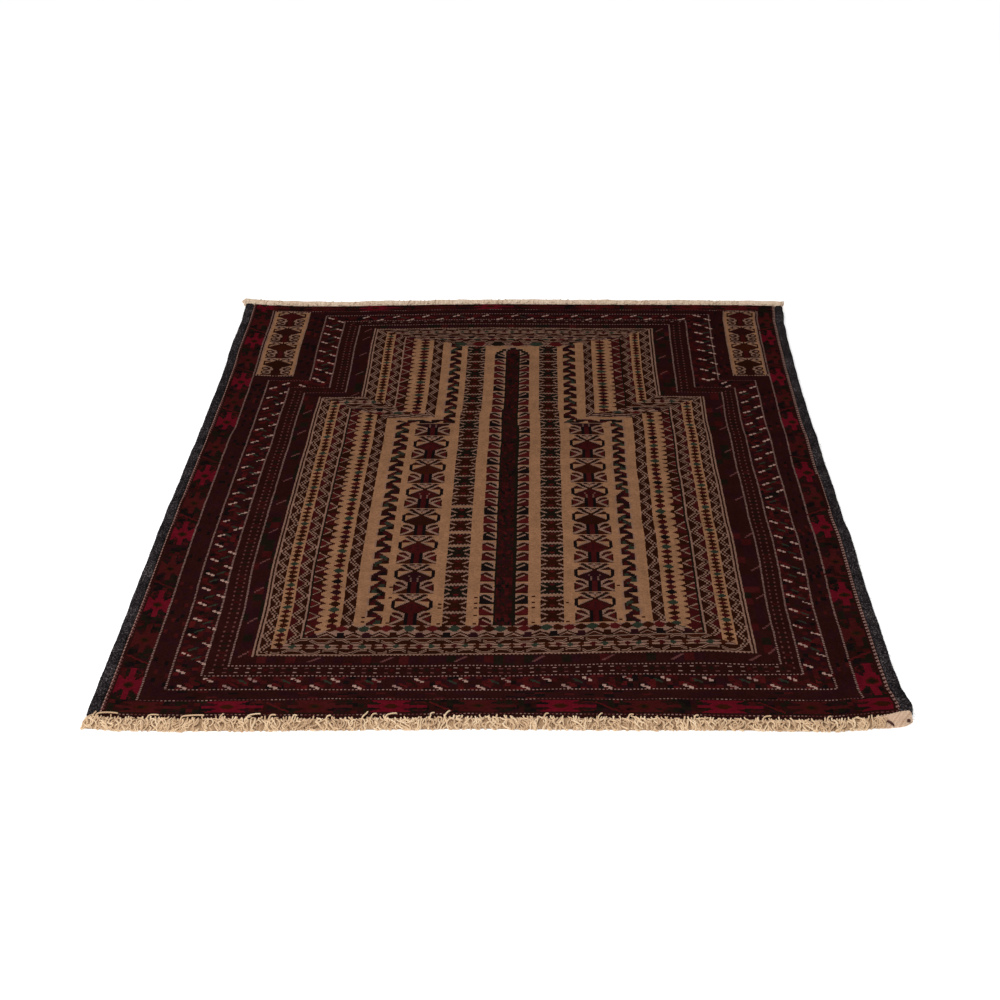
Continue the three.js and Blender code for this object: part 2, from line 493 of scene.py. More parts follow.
def meander(c, n, width, spacing, colours, outer=3.2, inner=0.7, deep=11.0, tall=15.5):
    """A winding ribbon: slanting notches bite into it from either side by turns."""
    x = c * width
    y_in = (np.ceil(n) - n) * spacing
    y_out = (np.ceil(n - 0.5) - (n - 0.5)) * spacing
    hi = width - inner - deep * np.clip(1 - y_in / tall, 0, 1)
    lo = outer + deep * np.clip(1 - y_out / tall, 0, 1)
    pick = np.array(colours)[np.floor(2 * n + 0.4).astype(int) % len(colours)]
    second = np.array(colours[1:] + colours[:1])[np.floor(2 * n + 0.4).astype(int) % len(colours)]
    k = np.full(c.shape, CAMEL, np.uint8)
    k = np.where((x > lo - 1.2) & (x < hi + 1.2), CREAM, k)
    k = np.where((x > lo) & (x < hi), BROWN, k)
    core = (x > lo + 1.7) & (x < hi - 1.7)
    return np.where(core, np.where(x > 0.5 * (lo + hi), pick, second), k)


def patches(a, b, seed, wools, shares):
    """Small uneven patches of several wools."""
    h = cell_hash(a, b, seed)
    k = np.full(h.shape, wools[0], np.uint8)
    at = 0.0
    for w, s in zip(wools[1:], shares):
        k = np.where((h >= at) & (h < at + s), w, k)
        at += s
    return k


def half(m, v, side):
    """The design of one half. m: knots' distances from the outer edge, from there inwards."""
    M, V = np.meshgrid(m, v)
    I, J = np.meshgrid(np.arange(len(m)), np.arange(len(v)))
    left = side < 0
    s_side, s_near = side_tread(M), near_tread(V)
    s_step, s_upper, s_top = step_tread(V), upper_tread(M), top_tread(V)
    shoulder = np.maximum(s_upper, s_step)
    s = np.minimum(np.minimum(s_side, s_near), np.minimum(shoulder, s_top))
    on_step = (s == s_step) & (s_step > s_upper)
    level = ((s == s_near) | (s == s_top) | on_step) & ~(s == s_side)
    k = np.clip(np.floor(s).astype(int), 0, len(FRAMES) - 1)
    c = np.clip(s - k, 0, 0.9999)
    t = np.where(level, M if left else 867 - M, V)
    turn = np.where(level, I, J)
    K = np.full(M.shape, WINE, np.uint8)

    def band(name, value):
        nonlocal K
        K = np.where(k == NAMES.index(name), value, K)

    # single lines of knots, light and dark by turns
    line = np.abs(c - 0.5) < (U_PITCH / 2 + 0.001) / 4
    for name, ground in (("dots_1", WINE), ("dots_2", WINE), ("dots_3", WINE), ("dots_4", WINE)):
        pale = np.where((level & (name == "dots_1") & (cell_hash(turn // 9, J * 0, 2) < 0.6)) | on_step, ROSE, DOT)
        band(name, np.where(line & (turn % 2 == 0), pale, ground))
    faint = patches(turn // 5 * 3 + (c * 5).astype(int), k * 0 + side, 3, (WINE, PURPLE, NAVY, DIM), (0.30, 0.08, 0.04))
    band("guard", faint)
    mottle = patches(I // 3, (J + 2 * (I // 3 % 2)) // 4, 5 + side, (WINE, PURPLE, BRICK, DIM, RED, NAVY), (0.22, 0.05, 0.10, 0.15, 0.08))
    band("slash", mottle)
    # two rows of small spots, every 13 mm
    ci = (c * 20 / 2.1).astype(int)
    spot = ((ci == 3 - level) | (ci == 7)) & (turn % 6 < 2) & ~on_step
    fill = ((ci > 3) & (ci < 7)) & (turn % 6 >= 3) & (turn % 6 < 5)
    lamp = cell_hash(turn // 6, k, 8 + side)
    band("spots", np.where(spot, np.where(level & (lamp > 0.6), DOT, ROSE), np.where(fill & (lamp < 0.45), NIGHT, np.where(fill & (lamp < 0.65), RED, WINE))))
    gloom = patches(I // 5, J // 9, 9 + side, (WINE, PURPLE, RED, DIM, NIGHT), (0.24, 0.06, 0.02, 0.12))
    band("dark", gloom)
    edge = np.where(c < 0.333, CREAM, np.where(c < 0.667, BROWN, CREAM))
    edge_level = np.where((turn % 2 == 0) | (c > 0.8), CREAM, BROWN)
    band("edge", np.where(level, np.where(c < 0.25, WINE, edge_level), edge))

    n_a = beat(t, ((258, 0), (435, 5), (544, 8), (588, 9), (700, 12), (820, 16), (862, 17)) if left else
               ((342, 0), (557, 6), (653, 9), (701, 10), (834, 14)), 36)
    band("zigzag_a", np.where(level, zigzag(c, (t - 198) / 39.1, 14, BROWN, BROWN, 2.0, 1.5, 0.9), zigzag(c, n_a, 13, BROWN, BROWN, 2.3)))
    n_b = beat(t, ((258, 0), (556, 23), (696, 34)) if left else ((262, 0), (544, 24), (696, 35.5)), 13)
    band("beads_b", np.where(level, beads(c, (t - 196) / 13.04, 12, 13.04, 5.4, 4.2, [GREEN, RUST, RED], CREAM, RUST),
                             beads(c, n_b, 14, 13, 5.0, 6.2, [RUST, RED, GREEN, RUST, BROWN] if left else [RUST, BROWN, RED, RUST, GREEN, RED], CAMEL)))
    n_c = beat(t, ((280, 0), (389, 3), (466, 5), (571, 8), (685, 11), (779, 14), (846, 16)) if left else
               ((297, 0), (436, 4), (514, 6), (646, 9), (737, 12), (834, 15)), 36.5)
    band("zigzag_c", np.where(level, zigzag(c, (t - 207.5) / 38.6, 15, BROWN, RUST, 2.0, 1.5, 0.92), zigzag(c, n_c, 15, RED, BROWN, 2.5)))
    band("line", np.where(c < 0.5, CREAM, NIGHT))
    n_d = beat(t, ((276, 0), (348, 2), (414, 4), (498, 6), (580, 8), (659, 10), (722, 12), (790, 14), (868, 16)) if left else
               ((256, 0), (323, 2), (395, 4), (510, 7), (652, 10), (771, 14), (874, 17)), 37)
    band("teeth", np.where(level, rafters(c, (t - 216) / 30.6, 15, 30.6, [PURPLE, NAVY, PURPLE, BROWN]),
                           chevrons(c, n_d, 17.5, 37.5, np.where(cell_hash(np.floor(n_d), np.zeros_like(n_d), 4) > 0.55, RED, BROWN))))
    n_e = beat(t, ((259, 0), (392, 8), (514, 16), (640, 24), (753, 32), (878, 41)) if left else
               ((254, 0), (387, 8), (512, 16), (652, 24), (782, 32)), 14.5)
    wools = [RED, GREEN, BROWN, RED, PURPLE, RED, NAVY, RED, GREEN, RED, BROWN]
    band("beads_e", np.where(level, beads(c, (t - 234) / 13.1, 17, 13.1, 8.8, 7.2, [RUST, BRICK, BROWN, GREEN], CREAM, RED),
                             beads(c, n_e, 21, 15.6, 6.2, 7.4, wools if left else wools[::-1], CAMEL)))
    n_f = beat(t, ((275, 0), (318, 1), (355, 2), (448, 4), (516, 6), (630, 9), (735, 12), (836, 15)) if left else
               ((260, 0), (331, 2), (398, 4), (493, 6), (578, 8), (688, 11), (775, 13), (874, 16)), 37)
    band("zigzag_f", np.where(level, zigzag(c, t / 38.4 + 0.6, 9, BROWN, BROWN, 3.4, 1.6), zigzag(c, n_f, 15, BROWN, BROWN, 2.4)))
    band("camel", np.where(level & (V > 1200), BROWN, CAMEL))
    n_g = beat(t, ((270, 0), (446, 5), (523, 7), (584, 9), (644, 11), (684, 12), (713, 13), (905, 19)) if left else
               ((267, 0), (405, 4), (505, 7), (607, 10), (657, 11), (686, 12), (775, 15), (900, 19)), 34)
    shades = [PURPLE, NIGHT, RED, NAVY, GREEN, RED, NAVY, PURPLE, BROWN, GREEN, RED]
    head = beads(c, (t - 352) / 29.5, 19, 29.5, 12.0, 10.5, [GREEN, BRICK, NIGHT, RED], np.where((I + J) % 3 == 0, BROWN, CREAM), RED)
    band("meander", np.where(level & (V > 1200), head, np.where(level, meander(c, t / 34, 19, 34, [BROWN, RED, NIGHT, NAVY], 3.0, 2.0, 9.0, 14.0),
                             meander(c, n_g, 22, 34, shades if left else shades[::-1]))))
    # the open field, with its columns
    inside = (k == NAMES.index("field"))
    K = np.where(inside, CAMEL, K)
    field = np.full(K.shape, 255, np.uint8)
    m0 = m[0] - U_PITCH / 2

    def column(mm):
        return int(round((mm - m0) / U_PITCH))

    def row(vv):
        return int(round(vv / V_PITCH))

    r, n = row(230.5 if left else 232), 0
    while r < row(905):
        stamp(field, VASE, column(302.6), r, {"r": (RED, PURPLE, RED, BROWN, RED, RUST)[n % 6], "R": (RED, DIM)[n % 2],
                                              "s": (BRICK, DIM)[n % 2], "b": (BROWN, RUST)[n % 3 == 2]})
        if n % 3 == 1:
            for dr, dc in ((17, 9), (19, 9), (21, 9), (17, 13), (19, 13), (21, 13), (24, 8), (24, 14)):
                field[r + dr, column(302.6) + dc] = CREAM
        r += 43
        n += 1
    starts = np.interp(np.arange(27), (0, 5, 9, 16, 26), (226, 426, 598, 848, 1226) if left else (233, 435, 590, 852, 1228))
    for n, v0 in enumerate(starts):
        if v0 > 1240:
            break
        shift = 2.6 if v0 > 950 else 0
        stamp(field, SPIDER, column(362.8 + shift), row(v0), {"r": (BRICK, RED, BRICK, DIM)[(n + (not left)) % 4],
                                                              "b": (BROWN, BROWN, NIGHT)[n % 3]})
    bases = np.interp(np.arange(34), (0, 8, 13, 33), (228, 484, 627, 1236))
    for n, v0 in enumerate(bases):
        shift = 2.1 if v0 > 950 else 0
        if v0 < 1232:
            stamp(field, HOOK, column(404.6 + shift), row(v0) - 1, {"X": (RED, BRICK, NAVY)[n % 3] if n < 14 else (RED, BRICK, NAVY, RED, BRICK)[(n + (not left)) % 5],
                                                                   "b": (BROWN, NIGHT)[n % 3 == 2]})
    K = np.where(inside & (field < 255), field, K)
    # the pole, with a stepped head
    pole_left = 421.5 + 2.0 * np.clip((V - 900) / 100, 0, 1)
    d = MIDDLE - M
    width = np.where(V < 1240, MIDDLE - pole_left, np.where(V < 1248, 8, np.where(V < 1258, 4, 0)))
    on = inside & (V < 1258) & (d < width + 0.3)
    rim = on & (d > width - 1.9)
    lean = (I + J // 3) // 2
    wood = patches(lean, J // 5 + (I // 2) * 3, 21, (WINE, NIGHT, DIM, PURPLE, NAVY, RED), (0.20, 0.07, 0.14, 0.08, 0.14))
    K = np.where(inside & (V >= 1228) & (V < 1263) & (d < width + 5) & ~on, CREAM, K)
    K = np.where(on, wood, K)
    K = np.where(rim, NIGHT, K)
    for mm, vv in ((415, 1236), (420, 1244), (411, 1229)):
        r, q = row(vv), column(mm)
        K[r - 2:r + 3, q - 1:q + 2] = NIGHT
    # small crosses in the camel stripes
    for mm, vs in ((357, (233, 276, 288)), (397.5, (233, 255, 276, 290, 307)), (297, (236, 307, 338)), (268, (240, 252))):
        for n, vv in enumerate(vs):
            if side > 0 and n == 1:
                continue
            r, q = row(vv + 2 * (side > 0)), column(mm)
            K[r:r + 2, q:q + 2] = RUST
    return K


def panel(m, v, side):
    """One of the two camel panels beside the niche's head."""
    M, V = np.meshgrid(m, v)
    I, J = np.meshgrid(np.arange(len(m)), np.arange(len(v)))
    K = np.full(M.shape, 255, np.uint8)
    inside = (M > 50) & (M < 109.4) & (V > 1127) & (V < 1455)
    K = np.where(inside, CAMEL, K)
    for lo, hi, rising in ((50, 54.2, True), (105.2, 109.4, False)):
        x = (M - lo) / (hi - lo)
        x = x if rising else 1 - x
        K = np.where(inside & (x > 0) & (x < 1), np.where(x < 0.5, BROWN, CREAM), K)
    K = np.where(inside & (V < 1135), np.where((I % 2 == 0) & (V > 1130), CREAM, BROWN), K)
    K = np.where(inside & (V > 1450), np.where(I % 2 == 0, CREAM, BROWN), K)
    c = int(round((56.6 - (m[0] - U_PITCH / 2)) / U_PITCH))
    for n, v0 in enumerate((1131, 1212, 1292, 1374)):
        stamp(K, PANEL_VASE, c, int(round(v0 / V_PITCH)), {"r": (BROWN, RUST, WINE, RED)[n], "R": (WINE, RED, RED, RED)[n], "b": BROWN})
    return K


def design():
    """Every knot's wool."""
    u = U_FIRST + (np.arange(COLS) + 0.5) * U_PITCH
    v = (np.arange(ROWS) + 0.5) * V_PITCH
    K = np.full((ROWS, COLS), WINE, np.uint8)
    split = int(np.sum(u < MIDDLE))
    for side in (-1, 1):
        if side < 0:
            m = u[:split]
            cols = np.arange(split)
        else:
            m = (2 * MIDDLE - u[split:])[::-1]
            cols = np.arange(COLS - 1, split - 1, -1)
        H = half(m, v, side)
        P = panel(m, v, side)
        K[:, cols] = np.where(P < 255, P, H)

    def col(x):
        return int(round((x - U_FIRST) / U_PITCH))

    def row(y):
        return int(round(y / V_PITCH))

    # border stars, bright and dim by turns, with a slanting line and dark leaves between
    c_all, r_all = np.meshgrid(np.arange(COLS), np.arange(ROWS))
    u_all, v_all = U_FIRST + (c_all + 0.5) * U_PITCH, (r_all + 0.5) * V_PITCH
    m_all = np.minimum(u_all, 2 * MIDDLE - u_all)
    border = (m_all < 46.5) | (v_all < 39) | (v_all > 1461)
    shade = patches(c_all // 3, (r_all + c_all // 3) // 4, 77, (WINE, NIGHT, NAVY, PURPLE, RED, DIM), (0.30, 0.14, 0.14, 0.05, 0.04))
    K = np.where(border, shade, K)
    dim = {"S": DIM, "d": NIGHT, "n": NIGHT}
    dusk = {"S": DIM, "d": PURPLE, "n": NAVY}
    for x, bright, faint in ((31.5, (80, 292, 507, 712, 925, 1101, 1300), (195, 398, 610, 822, 1012, 1205, 1395)),
                             (831.5, (81, 312, 530, 726, 928, 1125, 1318), (200, 420, 632, 826, 1030, 1222, 1410))):
        for n, (a, b) in enumerate(zip(bright, faint)):
            y, lean = 0.5 * (a + b), (-1 if (x < 400 or n % 2) else 1)
            for dx, dy, w in ((-6, 7, NAVY), (3, -7, NIGHT), (2, 9, NIGHT), (-5, -10, NAVY)):
                r, c = row(y + 2 * dy), col(x) + dx
                K[r:r + 5, c:c + 3] = w
                K[r + 2:r + 7, c + 1:c + 4] = w
            for q in range(14):
                r, c = row(y) + (lean * (q - 7) * 3) // 4, col(x) - 7 + q
                K[r:r + 2, c] = BRICK if n % 2 == 0 else DIM
        for y in bright:
            stamp(K, STARS, col(x) - 7, row(y) - 18, {"d": DIM, "n": NIGHT, "S": STAR})
        for n, y in enumerate(faint):
            stamp(K, STARS, col(x) - 7, row(y) - 18, (dim, dusk)[n % 2])
    for x in (192, 366, 543, 710):
        for q in range(12):
            K[row(33 - q * 1.9) - 1: row(33 - q * 1.9) + 1, col(x - 11) + q] = BRICK
            K[row(30 - q * 1.9) - 4: row(30 - q * 1.9) - 2, col(x - 4) + q] = NIGHT
    for x in (60, 236, 412, 586, 758):
        stamp(K, STARS[3:35], col(x) - 15, row(22.5) - 7, dim, turn=True)
    for x in (147, 320, 499, 671, 838):
        stamp(K, STARS[4:34], col(x) - 15, row(22.5) - 7, {"d": DIM, "n": RUST}, turn=True)
    for x in (40, 130, 306, 480, 640, 790):
        stamp(K, STARS[4:34], col(x) - 15, row(1473) - 7, {"S": BRICK if x in (40, 790) else DIM, "d": DIM, "n": RUST}, turn=True)
    for n, x in enumerate((216, 398, 560, 712)):
        stamp(K, STARS[4:34], col(x) - 15, row(1473) - 7, {"S": STAR if n in (0, 1) else BRICK, "d": DIM, "n": RUST}, turn=True)
    stamp(K, STARS[0:30], col(31) - 7, row(1450), {"d": DIM, "n": NIGHT, "S": STAR})

    # pale slashes, and small leaning figures between them
    def slash(x, y, up=False, wool=WHITE):
        stamp(K, SLASH, col(x) - 2, row(y) - 3, {"w": wool}, flip=up)

    def fly(x, y, up=False, wool=GREEN):
        stamp(K, FLY, col(x) - 2, row(y) - 2, {"g": wool}, flip=up)

    for n, x in enumerate((90, 135.5, 184, 228.5, 273.5, 317.5, 363, 410, 457.5, 502, 546, 588.5, 633.5, 677.5, 722, 764)):
        slash(x, 74, wool=DOT if n % 4 == 1 else WHITE)
    for n, x in enumerate((114, 161, 206, 250, 295.5, 341.5, 389, 436, 480, 525.5, 568, 612, 655.5, 699.5, 743.5)):
        slash(x, 91, wool=DOT if n % 3 == 1 else WHITE)
    for n, x in enumerate((103, 150, 196, 241, 287, 333, 378, 424, 467, 515, 558, 602, 645, 690, 733, 775)):
        fly(x - 8, 76, wool=BRICK)
        fly(x + 14, 92, True, wool=BRICK)
        fly(x, 83, wool=GREEN if n % 5 else NIGHT)
    for x, ys in ((82, (112, 158, 206, 250, 294, 338, 382, 427, 472)), (101, (134, 182, 226, 270, 316, 360, 405, 450))):
        for y in ys:
            slash(x, y)
    for x, ys in ((82, (505, 555, 610, 650, 700, 748, 796, 845, 893, 940, 986, 1034, 1076)),
                  (99, (526, 580, 628, 675, 724, 772, 820, 868, 916, 962, 1008, 1056, 1096))):
        for y in ys:
            slash(x, y, True)
    for n, y in enumerate(range(120, 1060, 24)):
        fly(84 if n % 2 else 98, y + 12, y > 480, BRICK if n % 2 else PURPLE)
        fly(92 + (3 if n % 2 else -3), y, y < 480, GREEN if n % 3 else NIGHT)
    for x, ys in ((767.5, (122, 172, 222, 268, 314, 360, 408, 455, 502, 549, 596)),
                  (785, (100, 148, 201, 246, 292, 338, 384, 432, 480, 529, 585))):
        for y in ys:
            slash(x, y)
    for x, ys in ((768, (635, 684, 730, 778, 826, 874, 920, 968, 1012, 1058)),
                  (785, (660, 707, 754, 802, 850, 898, 944, 990, 1036, 1080))):
        for y in ys:
            slash(x, y, True)
    for n, y in enumerate(range(136, 1060, 24)):
        fly(768 if n % 2 else 786, y + 12, y > 600, BRICK if n % 2 else PURPLE)
        fly(776 + (3 if n % 2 else -3), y, y > 600, GREEN if n % 3 else NIGHT)
    for x, y in ((124, 1088), (150, 1106)):
        slash(x, y)
    for x, y in ((742, 1100), (722, 1112), (748, 1085)):
        slash(x, y, True)
    for x, ys in ((142, (1421, 1379, 1338, 1294, 1250, 1205, 1163, 1118)),
                  (158, (1404, 1361, 1319, 1273, 1231, 1191, 1145)),
                  (716, (1427, 1381, 1338, 1294, 1253, 1206, 1157, 1112)),
                  (732, (1409, 1364, 1318, 1275, 1238, 1187, 1140))):
        for y in ys:
            slash(x, y)
    for n, y in enumerate(range(1140, 1420, 22)):
        fly(151 + (2 if n % 2 else -2), y, True, GREEN if n % 3 else RUST)
        fly(725 + (2 if n % 2 else -2), y, True, GREEN if n % 2 else NIGHT)
    for n in range(11):
        x = 197 + 47.2 * n
        if x < 690:
            slash(x, 1424, True)
            slash(x + 23.5, 1408, True)
            fly(x + 11, 1417, False, GREEN if n % 2 else BRICK)
            fly(x + 34, 1419, True, BRICK)
    # thin pale strokes in the dark band
    for x in (221, 303, 386, 471, 550, 628, 708):
        for q in range(6):
            K[row(135 + q * 2), col(x - 6) + q: col(x - 6) + q + 2] = ROSE
    for x, ys in ((145, (153, 244, 332, 420, 518, 613, 697, 790, 880, 968)),
                  (729, (155, 218, 306, 396, 502, 628, 716, 806, 896, 984)),
                  (205, (1043, 1140, 1230, 1310, 1352)),
                  (661, (1140, 1215, 1308, 1350))):
        for y in ys:
            for q in range(5):
                K[row(y - 6 + q * 3): row(y - 6 + q * 3) + 2, col(x - 5) + q] = ROSE
    # the edges of the pile: a line of dots beside each cord and at the near end
    v_i = np.arange(ROWS)
    for c, phase in ((0, 0), (COLS - 1, 1)):
        K[:, c] = np.where((v_i + phase) // 2 % 2 == 0, WHITE, ROSE)
    K[:, 1:3] = WINE
    K[:, -3:-1] = WINE
    # the line is two knots wide along most of the left side and on the right
    K[:, 1] = np.where((v_i // 2 % 2 == 1) & (cell_hash(v_i // 23, v_i * 0, 71) < 0.75), ROSE, WINE)
    K[:, -2] = np.where((v_i // 2 % 2 == 1) & (cell_hash(v_i // 31, v_i * 0, 72) < 0.85), DOT, WINE)
    u_i = np.arange(COLS)
    K[:4, :] = WINE
    K[2, 1:-1] = np.where(u_i[1:-1] % 2 == 0, np.where(cell_hash(u_i[1:-1] // 5, u_i[1:-1] * 0, 7) < 0.6, ROSE, DOT), WINE)
    K[-1, :] = WINE
    return K


KNOTS = design()

# How far the weave has drifted from true: du and dv, by nominal u (columns) and v (rows).
DRIFT_U_AT = np.array([13.2, 48.5, 73.5, 107.5, 131.5, 157.5, 238, 326, 433.5, 541, 629, 709.5, 735.5, 759.5, 793.5, 818.5, 846.8])
DRIFT_U = [
    # v
    (0,    [0, 0, 1, 1.5, 3, 3, 4, 1.5, 0, -1, -3, 2.5, 1.5, -0.5, -2.5, -5.5, 0]),
    (260,  [0, 0, 1, 1.5, 3, 3, 4, 1.5, 0, -1, -3, 2.5, 1.5, -0.5, -2.5, -5.0, 0]),
    (420,  [-0.5, -1, -1.5, -1.5, -1.5, -0.5, 0, 0, 0, 0, -3, 1.5, 3.5, 2, 0, -3.5, 0]),
    (540,  [-1.0, -1.5, -1.5, -1.5, -1.5, -0.5, 0, 0, 0, 0, -3, 1.5, 3.5, 2, 0, -3.5, 0]),
    (700,  [0, -1.5, -1.5, -1.5, -1.5, -0.5, 0, 0, 0, 0, -2, 1.5, 3.5, 2, 1, -3, 0]),
    (855,  [-0.5, -2.5, -1.5, -1.0, -1.5, -0.5, 0, 0, 0, 0, -1, 1, 3.0, 1, 1, -2, 0]),
    (900,  [0.5, 1.0, -0.5, -1.0, -1.5, -0.5, 0, 0, 0, 0, 0, 1, 3.0, 1, 1, -1, 0]),
    (1030, [0, 0, -0.5, -0.5, -1.0, 0, 0, 0, 0, 0, 0, 2, 5, 2, 2, -0.5, 0]),
    (1150, [0, 0, 0, 0, 0, 0, 0, 0, 0, 0, -1, 4, 7, 3, 1, -0.5, 0]),
    (1490, [0, 0, 0, 0, 0, 0, 0, 0, 0, 0, -1, 4, 7, 3, 1, -0.5, 0])]
DRIFT_V_AT = np.array([13, 100, 180, 250, 320, 400, 440, 500, 560, 620, 660, 710, 760, 847])
DRIFT_V = [
    (0,    [0, 0, 0, 0, 0, 0, 0, 0, 0, 0, 0, 0, 0, 0]),
    (6,    [0, 0, 0, 0, 0, 0, 0, 0, 0, 1, 0, 0, 0, 1]),
    (41,   [-2, -2, 0, 3, 0.5, -1, -1, 1, 0, 3, 3, 2, 2, 2]),
    (65.5, [-0.5, -0.5, -0.5, -0.5, -2, -4.5, -4.5, -1, -0.5, 2, 3, 3.5, 3.5, 3]),
    (100,  [0, 0, 0, 0, -2.5, -3, -2.5, 1, 5, 5, 4, 6, 7, 6]),
    (125.5, [0, 0, 0, -0.5, -1.5, -1.5, -3.5, 0.5, 5, 7, 8.5, 6, 7.5, 7]),
    (151,  [-1, -1, -1, -1, -1, -1, 0, 3, 7, 10, 13, 9, 9, 9]),
    (176,  [-1, -1, -1, -1, -1, -1, 0, 4, 9, 13, 15, 13, 12, 12]),
    (223,  [0, 0, 0, 0, 0, -2, -2, 4, 9, 14, 15, 13, 12, 12]),
    (420,  [0, 0, 0, 0, 0, 0, 0, 0, 0, 0, 0, 0, 0, 0]),
    (1000, [0, 0, 0, 0, 0, 0, 0, 0, 0, 0, 0, 0, 0, 0]),
    (1078, [0, 0, 0, 0, 0, 0, 0, 0, 0, -1, -2, -4, -4, -3]),
    (1150, [0, 0, 0, 0, 0, 0, 0, 0, 0, 0, 0, 0, 0, 0]),
    (1300, [0, 0, 0, 0, 0, 0, 0, 0, -1, -2, -2, -2, 0, 0]),
    (1400, [0, 0, 0, 0, 0, 0, 0, 0, 0, 2, 2, 2, 0, 0]),
    (1490, [0, 0, 0, 0, 0, 0, 0, 0, 0, 0, 0, 0, 0, 0])]


def drift(table, at, u, v):
    """The drift at each u and v, smooth between the table's rows and columns."""
    vs = np.array([r[0] for r in table], float)
    grid = np.array([r[1] for r in table], float)
    k = np.clip(np.searchsorted(vs, v, side="right") - 1, 0, len(vs) - 2)
    t = np.clip((v - vs[k]) / (vs[k + 1] - vs[k]), 0, 1)
    t = t * t * (3 - 2 * t)
    n = np.clip(np.searchsorted(at, u, side="right") - 1, 0, len(at) - 2)
    q = np.clip((u - at[n]) / (at[n + 1] - at[n]), 0, 1)
    q = q * q * (3 - 2 * q)
    low = grid[k, n] * (1 - q) + grid[k, n + 1] * q
    high = grid[k + 1, n] * (1 - q) + grid[k + 1, n + 1] * q
    return low * (1 - t) + high * t


def woven(u, v):
    """x, y of a nominal place, with the weave's drift, which is nothing at the pile's edges."""
    fade = np.clip((u - 13.2) / 12, 0, 1) * np.clip((846.8 - u) / 12, 0, 1)
    du = drift(DRIFT_U, DRIFT_U_AT, u, v) * np.where(fade < 1, fade, 1)
    fade = np.clip(v / 6, 0, 1) * np.clip((1490 - v) / 12, 0, 1)
    dv = drift(DRIFT_V, DRIFT_V_AT, u, v) * fade
    return place(u + du, v + dv)


# ---- mesh helpers --------------------------------------------------------------------

def to_frame(points):
    p = np.asarray(points, float).reshape(-1, 3).copy()
    p[:, 0] += SHIFT_X
    p[:, 1] += SHIFT_Y
    return p / 1000


def make_mesh(name, points, quads=None, tris=None, ngons=()):
    mesh = bpy.data.meshes.new(name)
    loops, starts, totals = [], [], []
    at = 0
    if quads is not None and len(quads):
        q = np.asarray(quads, np.int32)
        loops.append(q.ravel())
        starts.append(np.arange(len(q)) * 4)
        totals.append(np.full(len(q), 4))
        at += q.size
    if tris is not None and len(tris):
        t = np.asarray(tris, np.int32)
        loops.append(t.ravel())
        starts.append(at + np.arange(len(t)) * 3)
        totals.append(np.full(len(t), 3))
        at += t.size
    for g in ngons:
        g = np.asarray(g, np.int32)
        loops.append(g)
        starts.append(np.array([at]))
        totals.append(np.array([len(g)]))
        at += len(g)
    loops, starts, totals = (np.concatenate(a).astype(np.int32) for a in (loops, starts, totals))
    p = to_frame(points).astype(np.float32)
    mesh.vertices.add(len(p))
    mesh.vertices.foreach_set("co", p.ravel())
    mesh.loops.add(len(loops))
    mesh.loops.foreach_set("vertex_index", loops)
    mesh.polygons.add(len(starts))
    mesh.polygons.foreach_set("loop_start", starts)
    mesh.polygons.foreach_set("loop_total", totals)
    mesh.update(calc_edges=True)
    mesh.validate()
    mesh.polygons.foreach_set("use_smooth", np.ones(len(mesh.polygons), bool))
    obj = bpy.data.objects.new(name, mesh)
    bpy.context.scene.collection.objects.link(obj)
    return obj


def put(obj, name, kind, domain, values):
    a = obj.data.attributes.new(name, kind, domain)
    key = "vector" if kind == "FLOAT_VECTOR" else "value"
    a.data.foreach_set(key, np.asarray(values, np.float32).ravel())


def tubes(centres, radii, sides, start_angle=None):
    """Closed tubes along many paths at once. centres: n x k x 3, radii: n x k."""
    n, k, _ = centres.shape
    tangent = np.gradient(centres, axis=1)
    tangent /= np.linalg.norm(tangent, axis=2, keepdims=True) + 1e-9
    ref = np.zeros_like(tangent)
    ref[..., 2] = 1
    steep = np.abs(tangent[..., 2]) > 0.95
    # one reference a tube, carried along it
    normal = np.zeros_like(tangent)
    first = np.cross(tangent[:, 0], np.array([0.31, 0.17, 0.93]))
    first /= np.linalg.norm(first, axis=1, keepdims=True) + 1e-9
    normal[:, 0] = first
    for i in range(1, k):
        a = normal[:, i - 1]
        b = a - tangent[:, i] * np.sum(a * tangent[:, i], axis=1, keepdims=True)
        normal[:, i] = b / (np.linalg.norm(b, axis=1, keepdims=True) + 1e-9)
    binormal = np.cross(tangent, normal)
    angle = np.arange(sides) * 2 * np.pi / sides
    ca, sa = np.cos(angle), np.sin(angle)
    ring = (centres[:, :, None, :]
            + radii[:, :, None, None] * (ca[None, None, :, None] * normal[:, :, None, :]
                                         + sa[None, None, :, None] * binormal[:, :, None, :]))
    points = ring.reshape(-1, 3)
    length = np.concatenate([np.zeros((n, 1)), np.cumsum(np.linalg.norm(np.diff(centres, axis=1), axis=2), axis=1)], axis=1)
    ply = np.empty((n, k, sides, 3))
    ply[..., 0] = ca
    ply[..., 1] = sa
    ply[..., 2] = length[:, :, None]
    base = (np.arange(n) * k * sides)[:, None, None]
    i = np.arange(k - 1)[None, :, None] * sides
    j = np.arange(sides)[None, None, :]
    jn = (j + 1) % sides
    a = base + i + j
    b = base + i + jn
    quads = np.stack([a, b, b + sides, a + sides], -1).reshape(-1, 4)
    caps = []
    for end, flip in ((0, True), (k - 1, False)):
        o = (np.arange(n) * k * sides + end * sides)[:, None]
        for q in range(1, sides - 1):
            tri = np.concatenate([o, o + q, o + q + 1], axis=1)
            caps.append(tri[:, ::-1] if flip else tri)
    tris = np.concatenate(caps)
    return points, quads, tris, ply.reshape(-1, 3)


